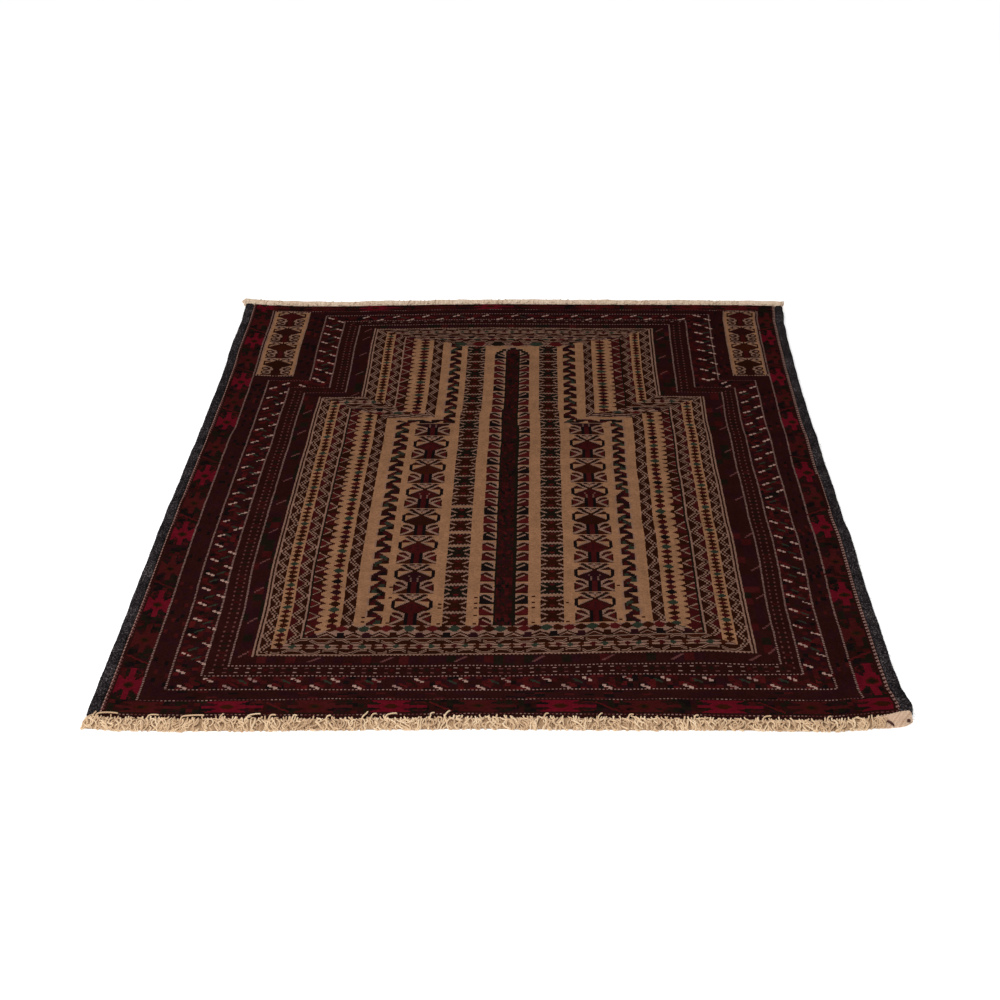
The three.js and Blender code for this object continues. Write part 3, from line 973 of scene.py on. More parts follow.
def bspline(ctrl, count):
    """Uniform cubic B-spline through-ish control points. ctrl: n x c x 3."""
    n, c, _ = ctrl.shape
    full = np.concatenate([2 * ctrl[:, :1] - ctrl[:, 1:2], ctrl, 2 * ctrl[:, -1:] - ctrl[:, -2:-1]], axis=1)
    t = np.linspace(0, c - 1 - 1e-6, count)
    k = t.astype(int)
    f = t - k
    w = np.stack([(1 - f) ** 3 / 6, (3 * f ** 3 - 6 * f ** 2 + 4) / 6, (-3 * f ** 3 + 3 * f ** 2 + 3 * f + 1) / 6, f ** 3 / 6], 0)
    return sum(w[m][None, :, None] * full[:, k + m] for m in range(4))


# ---- materials ----------------------------------------------------------------------

def linear(c):
    c = np.asarray(c, float) / 255
    return tuple(np.where(c <= 0.04045, c / 12.92, ((c + 0.055) / 1.055) ** 2.4))


class Material:
    def __init__(self, name):
        self.m = bpy.data.materials.new(name)
        self.m.use_nodes = True
        self.t = self.m.node_tree
        self.t.nodes.clear()
        self.out = self.t.nodes.new("ShaderNodeOutputMaterial")
        self.bsdf = self.t.nodes.new("ShaderNodeBsdfPrincipled")
        self.t.links.new(self.bsdf.outputs[0], self.out.inputs["Surface"])

    def set(self, **values):
        for name, value in values.items():
            self.bsdf.inputs[name.replace("_", " ")].default_value = value

    def link(self, a, b):
        self.t.links.new(a, b)

    def feed(self, socket, value):
        if isinstance(value, bpy.types.NodeSocket):
            self.link(value, socket)
        elif isinstance(value, (tuple, list)):
            socket.default_value = (*value, 1) if len(value) == 3 and socket.type == "RGBA" else value
        else:
            socket.default_value = value

    def math(self, op, a, b=0.0, c=None, clamp=False):
        n = self.t.nodes.new("ShaderNodeMath")
        n.operation = op
        n.use_clamp = clamp
        self.feed(n.inputs[0], a)
        self.feed(n.inputs[1], b)
        if c is not None:
            self.feed(n.inputs[2], c)
        return n.outputs[0]

    def attribute(self, name):
        n = self.t.nodes.new("ShaderNodeAttribute")
        n.attribute_name = name
        return n

    def separate(self, vector):
        n = self.t.nodes.new("ShaderNodeSeparateXYZ")
        self.link(vector, n.inputs[0])
        return n.outputs

    def combine(self, x, y, z=0.0):
        n = self.t.nodes.new("ShaderNodeCombineXYZ")
        for s, v in zip(n.inputs, (x, y, z)):
            self.feed(s, v)
        return n.outputs[0]

    def ramp(self, fac, stops, interpolation="LINEAR"):
        n = self.t.nodes.new("ShaderNodeValToRGB")
        n.color_ramp.interpolation = interpolation
        e = n.color_ramp.elements
        while len(e) > 1:
            e.remove(e[-1])
        e[0].position = stops[0][0]
        e[0].color = (*stops[0][1], 1)
        for p, c in stops[1:]:
            x = e.new(p)
            x.color = (*c, 1)
        self.feed(n.inputs[0], fac)
        return n.outputs[0]

    def noise(self, vector, scale, detail=2.0, rough=0.5, kind="3D"):
        n = self.t.nodes.new("ShaderNodeTexNoise")
        n.noise_dimensions = kind
        if vector is not None:
            self.link(vector, n.inputs["Vector"])
        n.inputs["Scale"].default_value = scale
        n.inputs["Detail"].default_value = detail
        n.inputs["Roughness"].default_value = rough
        return n.outputs[0]

    def white(self, vector):
        n = self.t.nodes.new("ShaderNodeTexWhiteNoise")
        n.noise_dimensions = "3D"
        self.link(vector, n.inputs["Vector"])
        return n.outputs[0]

    def coords(self):
        n = self.t.nodes.new("ShaderNodeTexCoord")
        return n.outputs["Object"]

    def scaled(self, vector, x, y, z):
        n = self.t.nodes.new("ShaderNodeMapping")
        self.link(vector, n.inputs["Vector"])
        n.inputs["Scale"].default_value = (x, y, z)
        return n.outputs[0]

    def mix(self, fac, a, b, blend="MIX"):
        n = self.t.nodes.new("ShaderNodeMix")
        n.data_type = "RGBA"
        n.blend_type = blend
        self.feed(n.inputs[0], fac)
        for socket, v in ((n.inputs[6], a), (n.inputs[7], b)):
            if isinstance(v, bpy.types.NodeSocket):
                self.link(v, socket)
            else:
                socket.default_value = (*v, 1)
        return n.outputs[2]

    def tint(self, colour, factor):
        """colour times a grey factor, which is a socket."""
        n = self.t.nodes.new("ShaderNodeVectorMath")
        n.operation = "SCALE"
        self.link(colour, n.inputs[0])
        self.link(factor, n.inputs["Scale"])
        return n.outputs[0]

    def spread(self, value, low, high):
        n = self.t.nodes.new("ShaderNodeMapRange")
        self.link(value, n.inputs["Value"])
        n.inputs["To Min"].default_value = low
        n.inputs["To Max"].default_value = high
        return n.outputs[0]

    def bump(self, height, strength, distance, normal=None):
        n = self.t.nodes.new("ShaderNodeBump")
        n.inputs["Strength"].default_value = strength
        n.inputs["Distance"].default_value = distance
        self.link(height, n.inputs["Height"])
        if normal is not None:
            self.link(normal, n.inputs["Normal"])
        return n.outputs[0]


def palette(m, index):
    """The wool's colour from its number, 0 to 15."""
    fac = m.math("MULTIPLY_ADD", index, 1 / 16, 0.5 / 16)
    return m.ramp(fac, [(k / 16, linear(WOOL[k])) for k in range(16)], "CONSTANT")


def digit(m, packed, place_value):
    """One base-16 digit of a packed number: which of its knots' wools."""
    power = m.math("POWER", 16.0, place_value)
    q = m.math("FLOOR", m.math("DIVIDE", m.math("ADD", packed, 0.5), power))
    return m.math("SUBTRACT", q, m.math("MULTIPLY", m.math("FLOOR", m.math("DIVIDE", m.math("ADD", q, 0.25), 16.0)), 16.0))


def wool_colour(m, colour, col, row, knot):
    """Knot-to-knot and batch-to-batch variation of the dyed wool."""
    each = m.white(m.combine(col, row, 0.0))
    tone = m.spread(each, 0.83, 1.17)
    # abrash: the dye lot changes every few centimetres of weaving
    lot = m.noise(m.combine(m.math("MULTIPLY", col, 0.011), m.math("MULTIPLY", row, 0.052)), 1.0, 2.0, 0.55, "2D")
    tone = m.math("MULTIPLY", tone, m.spread(lot, 0.80, 1.20))
    patch = m.noise(m.combine(m.math("MULTIPLY", col, 0.21), m.math("MULTIPLY", row, 0.06)), 1.0, 1.0, 0.5, "2D")
    tone = m.math("MULTIPLY", tone, m.spread(patch, 0.86, 1.14))
    fibre = m.noise(m.coords(), 1500.0, 1.0, 0.6)
    tone = m.math("MULTIPLY", tone, m.spread(fibre, 0.80, 1.20))
    return m.tint(colour, tone)


def pile_material():
    m = Material("knotted_wool")
    knot = m.attribute("knot").outputs["Vector"]
    x, y, _ = m.separate(knot)
    col, row = m.math("FLOOR", x), m.math("FLOOR", y)
    px = m.math("FLOOR", m.math("MULTIPLY", m.math("FRACT", m.math("MULTIPLY", x, 0.5)), 2.0))
    py = m.math("FLOOR", m.math("MULTIPLY", m.math("FRACT", m.math("MULTIPLY", y, 0.5)), 2.0))
    which = m.math("ADD", px, m.math("MULTIPLY", py, 2.0))
    packed = m.attribute("dye").outputs["Fac"]
    base = palette(m, digit(m, packed, which))
    colour = wool_colour(m, base, col, row, knot)
    m.link(colour, m.bsdf.inputs["Base Color"])
    # tufts: each knot a small dome, broken up by fibres
    fx = m.math("SUBTRACT", m.math("FRACT", x), 0.5)
    fy = m.math("SUBTRACT", m.math("FRACT", y), 0.5)
    r2 = m.math("ADD", m.math("MULTIPLY", fx, fx), m.math("MULTIPLY", fy, fy))
    dome = m.math("SUBTRACT", 1.0, m.math("MULTIPLY", r2, 2.2))
    lift = m.white(m.combine(col, row, 7.0))
    fibre = m.noise(m.coords(), 1900.0, 2.0, 0.6)
    height = m.math("ADD", m.math("MULTIPLY", dome, 0.55), m.math("ADD", m.math("MULTIPLY", lift, 0.35), m.math("MULTIPLY", fibre, 0.9)))
    m.link(m.bump(height, 0.55, 0.0007), m.bsdf.inputs["Normal"])
    m.set(Roughness=0.95, Sheen_Weight=0.0, Sheen_Roughness=0.5, Specular_IOR_Level=0.0)
    m.bsdf.inputs["Sheen Tint"].default_value = (0.9, 0.8, 0.75, 1)
    return m.m


def back_material():
    """The woven back: each knot shows as two flat beads in a row, weft between rows."""
    m = Material("woven_back")
    knot = m.attribute("knot").outputs["Vector"]
    x, y, _ = m.separate(knot)
    col, row = m.math("FLOOR", x), m.math("FLOOR", y)
    px = m.math("FLOOR", m.math("MULTIPLY", m.math("FRACT", m.math("MULTIPLY", x, 0.25)), 4.0))
    py = m.math("FLOOR", m.math("MULTIPLY", m.math("FRACT", m.math("MULTIPLY", y, 0.25)), 4.0))
    total = None
    for k in range(4):
        packed = m.attribute("dye%d" % k).outputs["Fac"]
        here = m.math("COMPARE", py, float(k), 0.25)
        part = m.math("MULTIPLY", digit(m, packed, px), here)
        total = part if total is None else m.math("ADD", total, part)
    colour = wool_colour(m, palette(m, total), col, row, knot)
    # brown weft between the rows of knots
    fy = m.math("ABSOLUTE", m.math("SUBTRACT", m.math("FRACT", y), 0.5))
    weft = m.math("GREATER_THAN", fy, 0.36)
    thread = m.math("SINE", m.math("MULTIPLY", x, 2 * math.pi * 2))
    colour = m.mix(m.math("MULTIPLY", weft, 0.75), colour, linear((74, 56, 44)))
    m.link(colour, m.bsdf.inputs["Base Color"])
    bead = m.math("ABSOLUTE", m.math("SINE", m.math("MULTIPLY", x, 2 * math.pi)))
    height = m.math("ADD", m.math("MULTIPLY", m.math("SUBTRACT", 1.0, m.math("MULTIPLY", fy, 2.0)), 0.7),
                    m.math("ADD", m.math("MULTIPLY", bead, 0.4), m.math("MULTIPLY", m.noise(m.coords(), 1700.0, 2.0, 0.6), 0.6)))
    height = m.math("ADD", height, m.math("MULTIPLY", m.math("MULTIPLY", weft, thread), 0.2))
    m.link(m.bump(height, 0.6, 0.0006), m.bsdf.inputs["Normal"])
    m.set(Roughness=0.95, Sheen_Weight=0.0, Sheen_Roughness=0.5, Specular_IOR_Level=0.0)
    return m.m


def yarn_material(name, stops, turns, rough=0.85, sheen=0.15, fleck=None, twist=0.5, groove_shade=(0.82, 1.12)):
    """Twisted yarn: the ply slants round each strand, with colour from strand to strand, and painted shade that darkens
    the grooves between the plies and lightens their crests.
    """
    m = Material(name)
    ply = m.attribute("ply").outputs["Vector"]
    c, s, length = m.separate(ply)
    angle = m.math("DIVIDE", m.math("ARCTAN2", s, c), 2 * math.pi)
    phase = m.math("ADD", m.math("MULTIPLY", angle, 2.0), m.math("DIVIDE", length, turns))
    groove = m.math("ABSOLUTE", m.math("SINE", m.math("MULTIPLY", phase, math.pi)))
    strand = m.attribute("strand").outputs["Fac"]
    pick = m.white(m.combine(strand, m.math("FLOOR", m.math("MULTIPLY", length, 0.0)), 1.0))
    fibre = m.noise(m.coords(), 2200.0, 2.0, 0.6)
    stain = m.noise(m.coords(), 55.0, 3.0, 0.6)
    fac = m.math("ADD", m.math("MULTIPLY", pick, 0.5), m.math("MULTIPLY", stain, 0.5))
    colour = m.ramp(fac, stops)
    # painted shade and light: darker in the grooves of the twist, lighter on the plies
    tone = m.math("MULTIPLY", m.spread(fibre, 0.86, 1.12), m.spread(groove, *groove_shade))
    colour = m.tint(colour, tone)
    m.link(colour, m.bsdf.inputs["Base Color"])
    height = m.math("ADD", m.math("MULTIPLY", groove, 0.7), m.math("MULTIPLY", fibre, 0.5))
    m.link(m.bump(height, twist, 0.0005), m.bsdf.inputs["Normal"])
    m.set(Roughness=rough, Sheen_Weight=sheen, Sheen_Roughness=0.4, Specular_IOR_Level=0.3)
    return m.m


def plain_floor():
    m = Material("pale_floor")
    grain = m.noise(m.coords(), 3.0, 2.0, 0.5)
    colour = m.ramp(grain, [(0.0, (0.90, 0.90, 0.895)), (1.0, (0.93, 0.93, 0.925))])
    m.link(colour, m.bsdf.inputs["Base Color"])
    m.link(colour, m.bsdf.inputs["Emission Color"])
    m.set(Roughness=1.0, Specular_IOR_Level=0.0, Emission_Strength=0.46)
    return m.m


# ---- the pile ----------------------------------------------------------------------------

def pile():
    nx, ny = COLS // 2, ROWS // 2
    lead = np.array([0.0, 0.35, 1.0])      # extra lines of points at each edge, in knots
    xs = np.concatenate([lead, np.arange(1, nx) * 2.0, COLS - lead[::-1]])
    ys = np.concatenate([lead, np.arange(1, ny) * 2.0, ROWS - lead[::-1]])
    cell_x = np.clip(((xs[:-1] + xs[1:]) / 2 / 2).astype(int), 0, nx - 1)
    cell_y = np.clip(((ys[:-1] + ys[1:]) / 2 / 2).astype(int), 0, ny - 1)
    X, Y = np.meshgrid(xs, ys)
    u = U_FIRST + X * U_PITCH
    v = Y * V_PITCH
    x, y = woven(u, v)
    z = pile_top(x, y)
    # the clipped edge rounds down at the ends and against the cords
    d_end = np.minimum(Y, ROWS - Y) * V_PITCH
    d_side = np.minimum(X, COLS - X) * U_PITCH
    z = z - 3.2 * np.clip(1 - d_end / 2.6, 0, 1) ** 2 - 1.6 * np.clip(1 - d_side / 2.6, 0, 1) ** 2
    # uneven clipping, and wool beaten down here and there
    rng = np.random.default_rng(11)
    rough = rng.normal(0, 0.085, x.shape)
    slow = (0.10 * np.sin(x / 23 + 1.7 * np.sin(y / 61)) * np.sin(y / 31 + 1.3 * np.sin(x / 47))
            + 0.06 * np.sin(x / 9.1 + y / 13.7) * np.sin(y / 7.3 - x / 21))
    z = z + np.where(d_end > 2.5, rough + slow, 0)
    wobble = rng.normal(0, 0.22, (2,) + x.shape)
    inner = (d_end > 5) & (d_side > 5)
    x = x + np.where(inner, wobble[0], 0)
    y = y + np.where(inner, wobble[1], 0)
    # a ragged cut along both ends
    ragged = 0.35 * np.sin(X[0] * 1.7) + 0.3 * np.sin(X[0] * 0.61 + 2) + rng.normal(0, 0.18, len(xs))
    y[0] -= np.abs(ragged) * 0.6
    y[-1] += np.abs(ragged) * 0.6
    top = np.stack([x, y, z], -1).reshape(-1, 3)
    w, h = len(xs), len(ys)
    idx = np.arange(w * h).reshape(h, w)
    quads = np.stack([idx[:-1, :-1], idx[:-1, 1:], idx[1:, 1:], idx[1:, :-1]], -1).reshape(-1, 4)
    rim = np.concatenate([idx[0, :], idx[1:, -1], idx[-1, -2::-1], idx[-2:0:-1, 0]])
    low = top[rim].copy()
    low[:, 2] = 1.6
    n = len(rim)
    first = len(top)
    lower = first + np.arange(n)
    nxt = np.roll(np.arange(n), -1)
    walls = np.stack([rim, lower, lower[nxt], rim[nxt]], -1)
    points = np.concatenate([top, low])
    obj = make_mesh("rug_pile", points, np.concatenate([quads, walls]), ngons=[lower[::-1]])
    knot = np.zeros((len(points), 3), np.float32)
    knot[:len(top), 0] = X.ravel()
    knot[:len(top), 1] = Y.ravel()
    knot[len(top):] = knot[rim]
    put(obj, "knot", "FLOAT_VECTOR", "POINT", knot)
    k = KNOTS.reshape(ny, 2, nx, 2).astype(np.int64)
    packed = k[:, 0, :, 0] + 16 * k[:, 0, :, 1] + 256 * k[:, 1, :, 0] + 4096 * k[:, 1, :, 1]
    face = packed[cell_y][:, cell_x].ravel()
    # the walls take the wool of the knots at their top
    cx = np.clip((knot[rim, 0] / 2).astype(int), 0, nx - 1)
    cy = np.clip((knot[rim, 1] / 2).astype(int), 0, ny - 1)
    wall_dye = packed[cy, cx]
    put(obj, "dye", "FLOAT", "FACE", np.concatenate([face, wall_dye, [0x2222]]))
    # a UV map, OFBake: the top fills the square
    uv = obj.data.uv_layers.new(name="OFBake")
    s = 0.004 + 0.992 * (X / COLS)
    t = 0.004 + 0.992 * (Y / ROWS)
    flat = np.zeros((len(points), 2), np.float32)
    flat[:len(top), 0] = s.ravel()
    flat[:len(top), 1] = t.ravel()
    rim_uv = flat[rim]
    out = rim_uv - 0.5
    flat[len(top):] = rim_uv + np.sign(out) * np.where(np.abs(out) > 0.4955, 0.003, 0.0)
    loops = np.zeros(len(obj.data.loops), np.int32)
    obj.data.loops.foreach_get("vertex_index", loops)
    uvs = flat[loops]
    last = obj.data.polygons[len(obj.data.polygons) - 1]
    corner = slice(last.loop_start, last.loop_start + last.loop_total)
    uvs[corner] = 0.9985 + (uvs[corner] - 0.5) * 0.0015
    uv.data.foreach_set("uv", uvs.ravel())
    obj.data.materials.append(pile_material())
    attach(obj, "root")
    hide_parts("rug_body")
    return obj


def back():
    nx, ny = COLS // 4, -(-ROWS // 4)
    xs = np.arange(nx + 1) * 4.0
    ys = np.minimum(np.arange(ny + 1) * 4.0, ROWS)
    X, Y = np.meshgrid(xs, ys)
    x, y = woven(U_FIRST + X * U_PITCH, Y * V_PITCH)
    rng = np.random.default_rng(5)
    zb = np.clip(0.16 + rng.normal(0, 0.05, x.shape), 0.04, 0.4)
    edge = (X == 0) | (X == COLS) | (Y == 0) | (Y == ROWS)
    zb = np.where(edge, 0.5, zb)
    bottom = np.stack([x, y, zb], -1).reshape(-1, 3)
    w, h = len(xs), len(ys)
    idx = np.arange(w * h).reshape(h, w)
    quads = np.stack([idx[:-1, :-1], idx[1:, :-1], idx[1:, 1:], idx[:-1, 1:]], -1).reshape(-1, 4)
    rim = np.concatenate([idx[0, :], idx[1:, -1], idx[-1, -2::-1], idx[-2:0:-1, 0]])
    high = bottom[rim].copy()
    high[:, 2] = 2.4
    n = len(rim)
    upper = len(bottom) + np.arange(n)
    nxt = np.roll(np.arange(n), -1)
    walls = np.stack([rim, rim[nxt], upper[nxt], upper], -1)
    points = np.concatenate([bottom, high])
    obj = make_mesh("rug_back", points, np.concatenate([quads, walls]), ngons=[upper])
    knot = np.zeros((len(points), 3), np.float32)
    knot[:len(bottom), 0] = X.ravel()
    knot[:len(bottom), 1] = Y.ravel()
    knot[len(bottom):] = knot[rim]
    put(obj, "knot", "FLOAT_VECTOR", "POINT", knot)
    grid = np.full((ny * 4, nx * 4), WINE, np.int64)
    grid[:ROWS, :COLS] = KNOTS
    k = grid.reshape(ny, 4, nx, 4)
    cx = np.clip((knot[rim, 0] / 4).astype(int), 0, nx - 1)
    cy = np.clip((knot[rim, 1] / 4).astype(int), 0, ny - 1)
    for r in range(4):
        packed = sum(k[:, r, :, c] * 16 ** c for c in range(4))
        put(obj, "dye%d" % r, "FLOAT", "FACE", np.concatenate([packed.ravel(), packed[cy, cx], [0x2222]]))
    uv = obj.data.uv_layers.new(name="OFBake")
    flat = np.zeros((len(points), 2), np.float32)
    flat[:len(bottom), 0] = 0.996 - 0.992 * (X / COLS).ravel()
    flat[:len(bottom), 1] = (0.004 + 0.992 * (Y / ROWS)).ravel()
    rim_uv = flat[rim]
    out = rim_uv - 0.5
    flat[len(bottom):] = rim_uv + np.sign(out) * np.where(np.abs(out) > 0.4955, 0.003, 0.0)
    loops = np.zeros(len(obj.data.loops), np.int32)
    obj.data.loops.foreach_get("vertex_index", loops)
    uvs = flat[loops]
    last = obj.data.polygons[len(obj.data.polygons) - 1]
    corner = slice(last.loop_start, last.loop_start + last.loop_total)
    uvs[corner] = 0.9985 + (uvs[corner] - 0.5) * 0.0015
    uv.data.foreach_set("uv", uvs.ravel())
    obj.data.materials.append(back_material())
    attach(obj, "root")
    return obj


# ---- the side cords --------------------------------------------------------------------

CORD_W, CORD_T = 13.0, 7.6


def selvedge(name, side, node):
    """Goat hair bound over the side warps in close slanting turns."""
    step = 0.62
    count = int(1488 / step)
    around = 16
    t = np.linspace(0, 1, count)
    yn = -745 + 1490 * t
    outer = left_side(yn) if side < 0 else right_side(yn)
    th = np.arange(around) * 2 * np.pi / around
    T, TH = np.meshgrid(t, th, indexing="ij")
    rng = np.random.default_rng(31 + side)
    length = T * 1490
    # a flattened cord with a shallow groove along the top between its two bundles of warps
    cx, cz = np.cos(TH), np.sin(TH)
    p = 0.78
    ex = np.sign(cx) * np.abs(cx) ** p
    ez = np.sign(cz) * np.abs(cz) ** p
    half_w = 6.25 + 0.35 * np.sin(length / 37 + side) + 0.22 * np.sin(length / 11.3)
    half_h = 3.72 + 0.10 * np.sin(length / 23.0)
    gx = ex * half_w
    gz = ez * half_h
    groove = np.where(ez > 0, 0.55 * np.exp(-((ex + 0.12) / 0.16) ** 2), 0.0)
    gz = gz - groove
    # the turns
    pitch = 1.9 + 0.12 * np.sin(length / 91)
    phase = length / 1.9 + side * TH / (2 * np.pi) + 0.35 * np.sin(length / 17.0)
    turn = np.abs(np.sin(np.pi * phase)) ** 0.7
    nth = np.floor(phase).astype(int)
    pull = (cell_hash(nth, 1, 41) - 0.5) * 0.42
    bulge = 0.34 * turn + pull
    gx = gx + cx * bulge
    gz = gz + np.where(cz > -0.5, cz * bulge, 0)
    centre_x = outer - side * 6.5
    x = centre_x[:, None] - side * 0.0 + side * gx
    near, far = near_end(x), far_end(x)
    y = near + (far - near) * T
    z = np.maximum(3.78 + gz, 0.06)
    z = z + np.where(cz > 0.3, ridge(x, y), 0)
    # the ends draw in
    taper = np.clip(np.minimum(length, 1490 - length) / 3.0, 0.0, 1)
    taper = 0.55 + 0.45 * np.sqrt(taper)
    x = centre_x[:, None] + (x - centre_x[:, None]) * taper
    z = 3.2 + (z - 3.2) * np.where(z > 3.2, taper, 1)
    points = np.stack([x, y, z], -1).reshape(-1, 3)
    i = np.arange(count - 1)[:, None] * around
    j = np.arange(around)[None, :]
    jn = (j + 1) % around
    a, b = (i + j), (i + jn)
    quads = np.stack([a, a + around, b + around, b], -1).reshape(-1, 4)
    if side < 0:
        quads = quads[:, ::-1]
    ends = [np.arange(around), (count - 1) * around + np.arange(around)[::-1]]
    if side < 0:
        ends = [e[::-1] for e in ends]
    obj = make_mesh(name, points, quads, ngons=ends)
    ply = np.stack([cx, cz, length], -1).reshape(-1, 3)
    put(obj, "ply", "FLOAT_VECTOR", "POINT", ply)
    put(obj, "strand", "FLOAT", "POINT", nth.ravel().astype(float))
    obj.data.materials.append(hair_material)
    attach(obj, "root")
    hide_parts(node)
    return obj


def goat_hair(name, stops):
    """Goat hair in slanting turns, greyed where it has worn, with painted shade between the turns."""
    m = Material(name)
    ply = m.attribute("ply").outputs["Vector"]
    c, s, length = m.separate(ply)
    angle = m.math("DIVIDE", m.math("ARCTAN2", s, c), 2 * math.pi)
    pos = m.coords()
    strands = m.noise(m.scaled(pos, 900.0, 2600.0, 900.0), 1.0, 2.0, 0.6)
    patch = m.noise(pos, 26.0, 3.0, 0.6)
    flecks = m.noise(m.scaled(pos, 520.0, 300.0, 520.0), 1.0, 2.0, 0.6)
    fac = m.math("ADD", m.math("MULTIPLY", m.math("ADD", strands, flecks), 0.42), m.math("MULTIPLY", patch, 0.16))
    colour = m.ramp(fac, [(at, linear(c)) for at, c in stops])
    # painted shade: darker between the turns of the binding, a little lighter on them
    turn = m.math("ABSOLUTE", m.math("SINE", m.math("MULTIPLY", m.math("DIVIDE", length, 1.9), math.pi)))
    colour = m.tint(colour, m.spread(turn, 0.72, 1.1))
    m.link(colour, m.bsdf.inputs["Base Color"])
    height = m.math("ADD", m.math("MULTIPLY", strands, 0.8), m.math("MULTIPLY", m.noise(pos, 2400.0, 2.0, 0.6), 0.4))
    m.link(m.bump(height, 0.6, 0.0006), m.bsdf.inputs["Normal"])
    m.set(Roughness=0.9, Sheen_Weight=0.0, Sheen_Roughness=0.4, Specular_IOR_Level=0.02)
    return m.m


def stray_hairs(name, side):
    """Single hairs that stand off the cord."""
    rng = np.random.default_rng(61 + side)
    n = 900
    yn = rng.uniform(-742, 742, n)
    outer = left_side(yn) if side < 0 else right_side(yn)
    where = rng.uniform(0, 1, n)
    x0 = outer - side * (0.5 + 10 * where ** 1.5)
    y0 = yn + 0.0
    z0 = 2.0 + 5.3 * np.sqrt(np.clip(1 - ((where ** 1.5 * 10 - 5) / 7) ** 2, 0, 1)) * rng.uniform(0.6, 1.0, n)
    reach = rng.uniform(1.2, 3.8, n) * np.where(rng.uniform(0, 1, n) > 0.94, 1.5, 1)
    turn = rng.uniform(-1.4, 1.4, n)
    rise = rng.uniform(0.0, 1.1, n)
    ctrl = np.zeros((n, 4, 3))
    for k in range(4):
        f = k / 3
        ctrl[:, k, 0] = x0 + side * reach * f * np.cos(turn * (0.5 + 0.7 * f)) * np.cos(rise * (1 - f))
        ctrl[:, k, 1] = y0 + reach * f * np.sin(turn * (0.6 + 0.8 * f))
        ctrl[:, k, 2] = np.maximum(z0 + reach * f * (np.sin(rise) - 0.9 * f), 0.25)
    path = bspline(ctrl, 5)
    radii = np.linspace(0.13, 0.05, 5)[None, :] * rng.uniform(0.8, 1.3, (n, 1))
    points, quads, tris, ply = tubes(path, radii, 3)
    obj = make_mesh(name, points, quads, tris)
    put(obj, "ply", "FLOAT_VECTOR", "POINT", ply)
    obj.data.materials.append(grey_hair_material)
    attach(obj, "root")
    return obj


# ---- the fringes -------------------------------------------------------------------------

def profile(f, stops):
    """A value for each strand along its length: stops are (f, one value a strand)."""
    at = np.array([s[0] for s in stops])
    values = np.stack([s[1] for s in stops], -1)
    k = np.clip(np.searchsorted(at, f, side="right") - 1, 0, len(at) - 2)
    t = (f - at[k]) / (at[k + 1] - at[k])
    return values[:, k] * (1 - t) + values[:, k + 1] * t


def curls(rng, x0, end_at, outward, limit, share, tall, r, curl, start=-1.2, count=19, low=0.35, root=(1.6, 4.8)):
    """Paths of curled warp ends. x0: roots across the rug, limit: how far the fringe lies out."""
    n = len(x0)
    f = np.linspace(0, 1, 12)
    reach = limit * rng.uniform(*share, n)
    turns = rng.uniform(0.4, 1.5, n)[:, None]
    hand = np.where(rng.uniform(0, 1, n) < 0.5, -1.0, 1.0)[:, None]
    angle = rng.uniform(0, 2 * np.pi, n)[:, None] + hand * 2 * np.pi * turns * f
    wide = (curl * rng.uniform(0.35, 1.25, n))[:, None] * np.clip(f * 2.6, 0, 1)
    lean = (3.4 * np.sin(x0 / 23.0 + 0.7) + 2.4 * np.sin(x0 / 9.7) + rng.normal(0, 3.2, n))[:, None]
    radius = rng.uniform(*r, n)
    start = (0.6 + (start - 0.6) * rng.uniform(0, 1, n) ** (4.5 if outward < 0 else 2.6))[:, None]
    x = x0[:, None] + lean * f + wide * (np.cos(angle) - np.cos(angle[:, :1]))
    out = start + (reach[:, None] - start) * f ** 0.8 + 0.75 * wide * np.sin(angle)
    z = profile(f, [(0.0, rng.uniform(*root, n)), (0.16, tall * rng.uniform(0.7, 0.95, n)),
                    (0.36, tall * rng.uniform(0.66, 1.0, n)), (0.62, tall * rng.uniform(low, 0.82, n)),
                    (0.84, tall * rng.uniform(0.08, 0.5, n)), (1.0, tall * rng.uniform(0.0, 0.3, n))])
    z = z + 0.32 * wide * np.sin(1.4 * angle + 1.0)
    most = limit[:, None] - radius[:, None]
    out = np.where(out > most, most - 0.25 * (out - most), out)
    z = np.clip(z, radius[:, None] + 0.1, tall + 0.6)
    side = float(left_side(745 * outward)) + rng.uniform(0, 1.5, n)[:, None]
    side = side + (4.5 - 8.5 * np.clip(out / 18, 0, 1) if outward < 0 else -5.0 + 0.25 * np.abs(z - 11))
    x = np.where(x < side, side + 0.15 * (side - x), x)
    path = bspline(np.stack([x, end_at(x) + outward * out, z], -1), count)
    path[..., 2] = np.maximum(path[..., 2], radius[:, None] * 0.95 + 0.06)
    k = np.linspace(0, 1, count)
    radii = radius[:, None] * (1 + 0.10 * np.sin(k * 19 + x0[:, None])) * np.where(k > 0.97, 0.6, 1)[None, :]
    return path, radii


def laid_over(rng, spots, end_at, outward, r=(0.8, 1.0), count=19):
    """Single strands that lie back over the pile, each from one place to another (x, in mm)."""
    ctrl = []
    for xa, da, xb, db in spots:
        mid = (xa + xb) / 2 + rng.normal(0, 0.8)
        row = [(xa - 1.5, -6.0, 4.6), (xa - 0.8, -2.5, 7.2), (xa, max(0.6 * da, 0.3), 8.0),
               (mid, 0.32 * (da + db) + 0.3, 8.4), (xb, 0.66 * db, 8.1), (xb + 0.6, 0.66 * db - 0.9, 7.9)]
        ctrl.append([(x, float(end_at(x)) - outward * d, z) for x, d, z in row])
    path = bspline(np.array(ctrl, float), count)
    radius = rng.uniform(*r, len(ctrl))
    k = np.linspace(0, 1, count)
    return path, radius[:, None] * np.where(k > 0.97, 0.55, 1)[None, :]


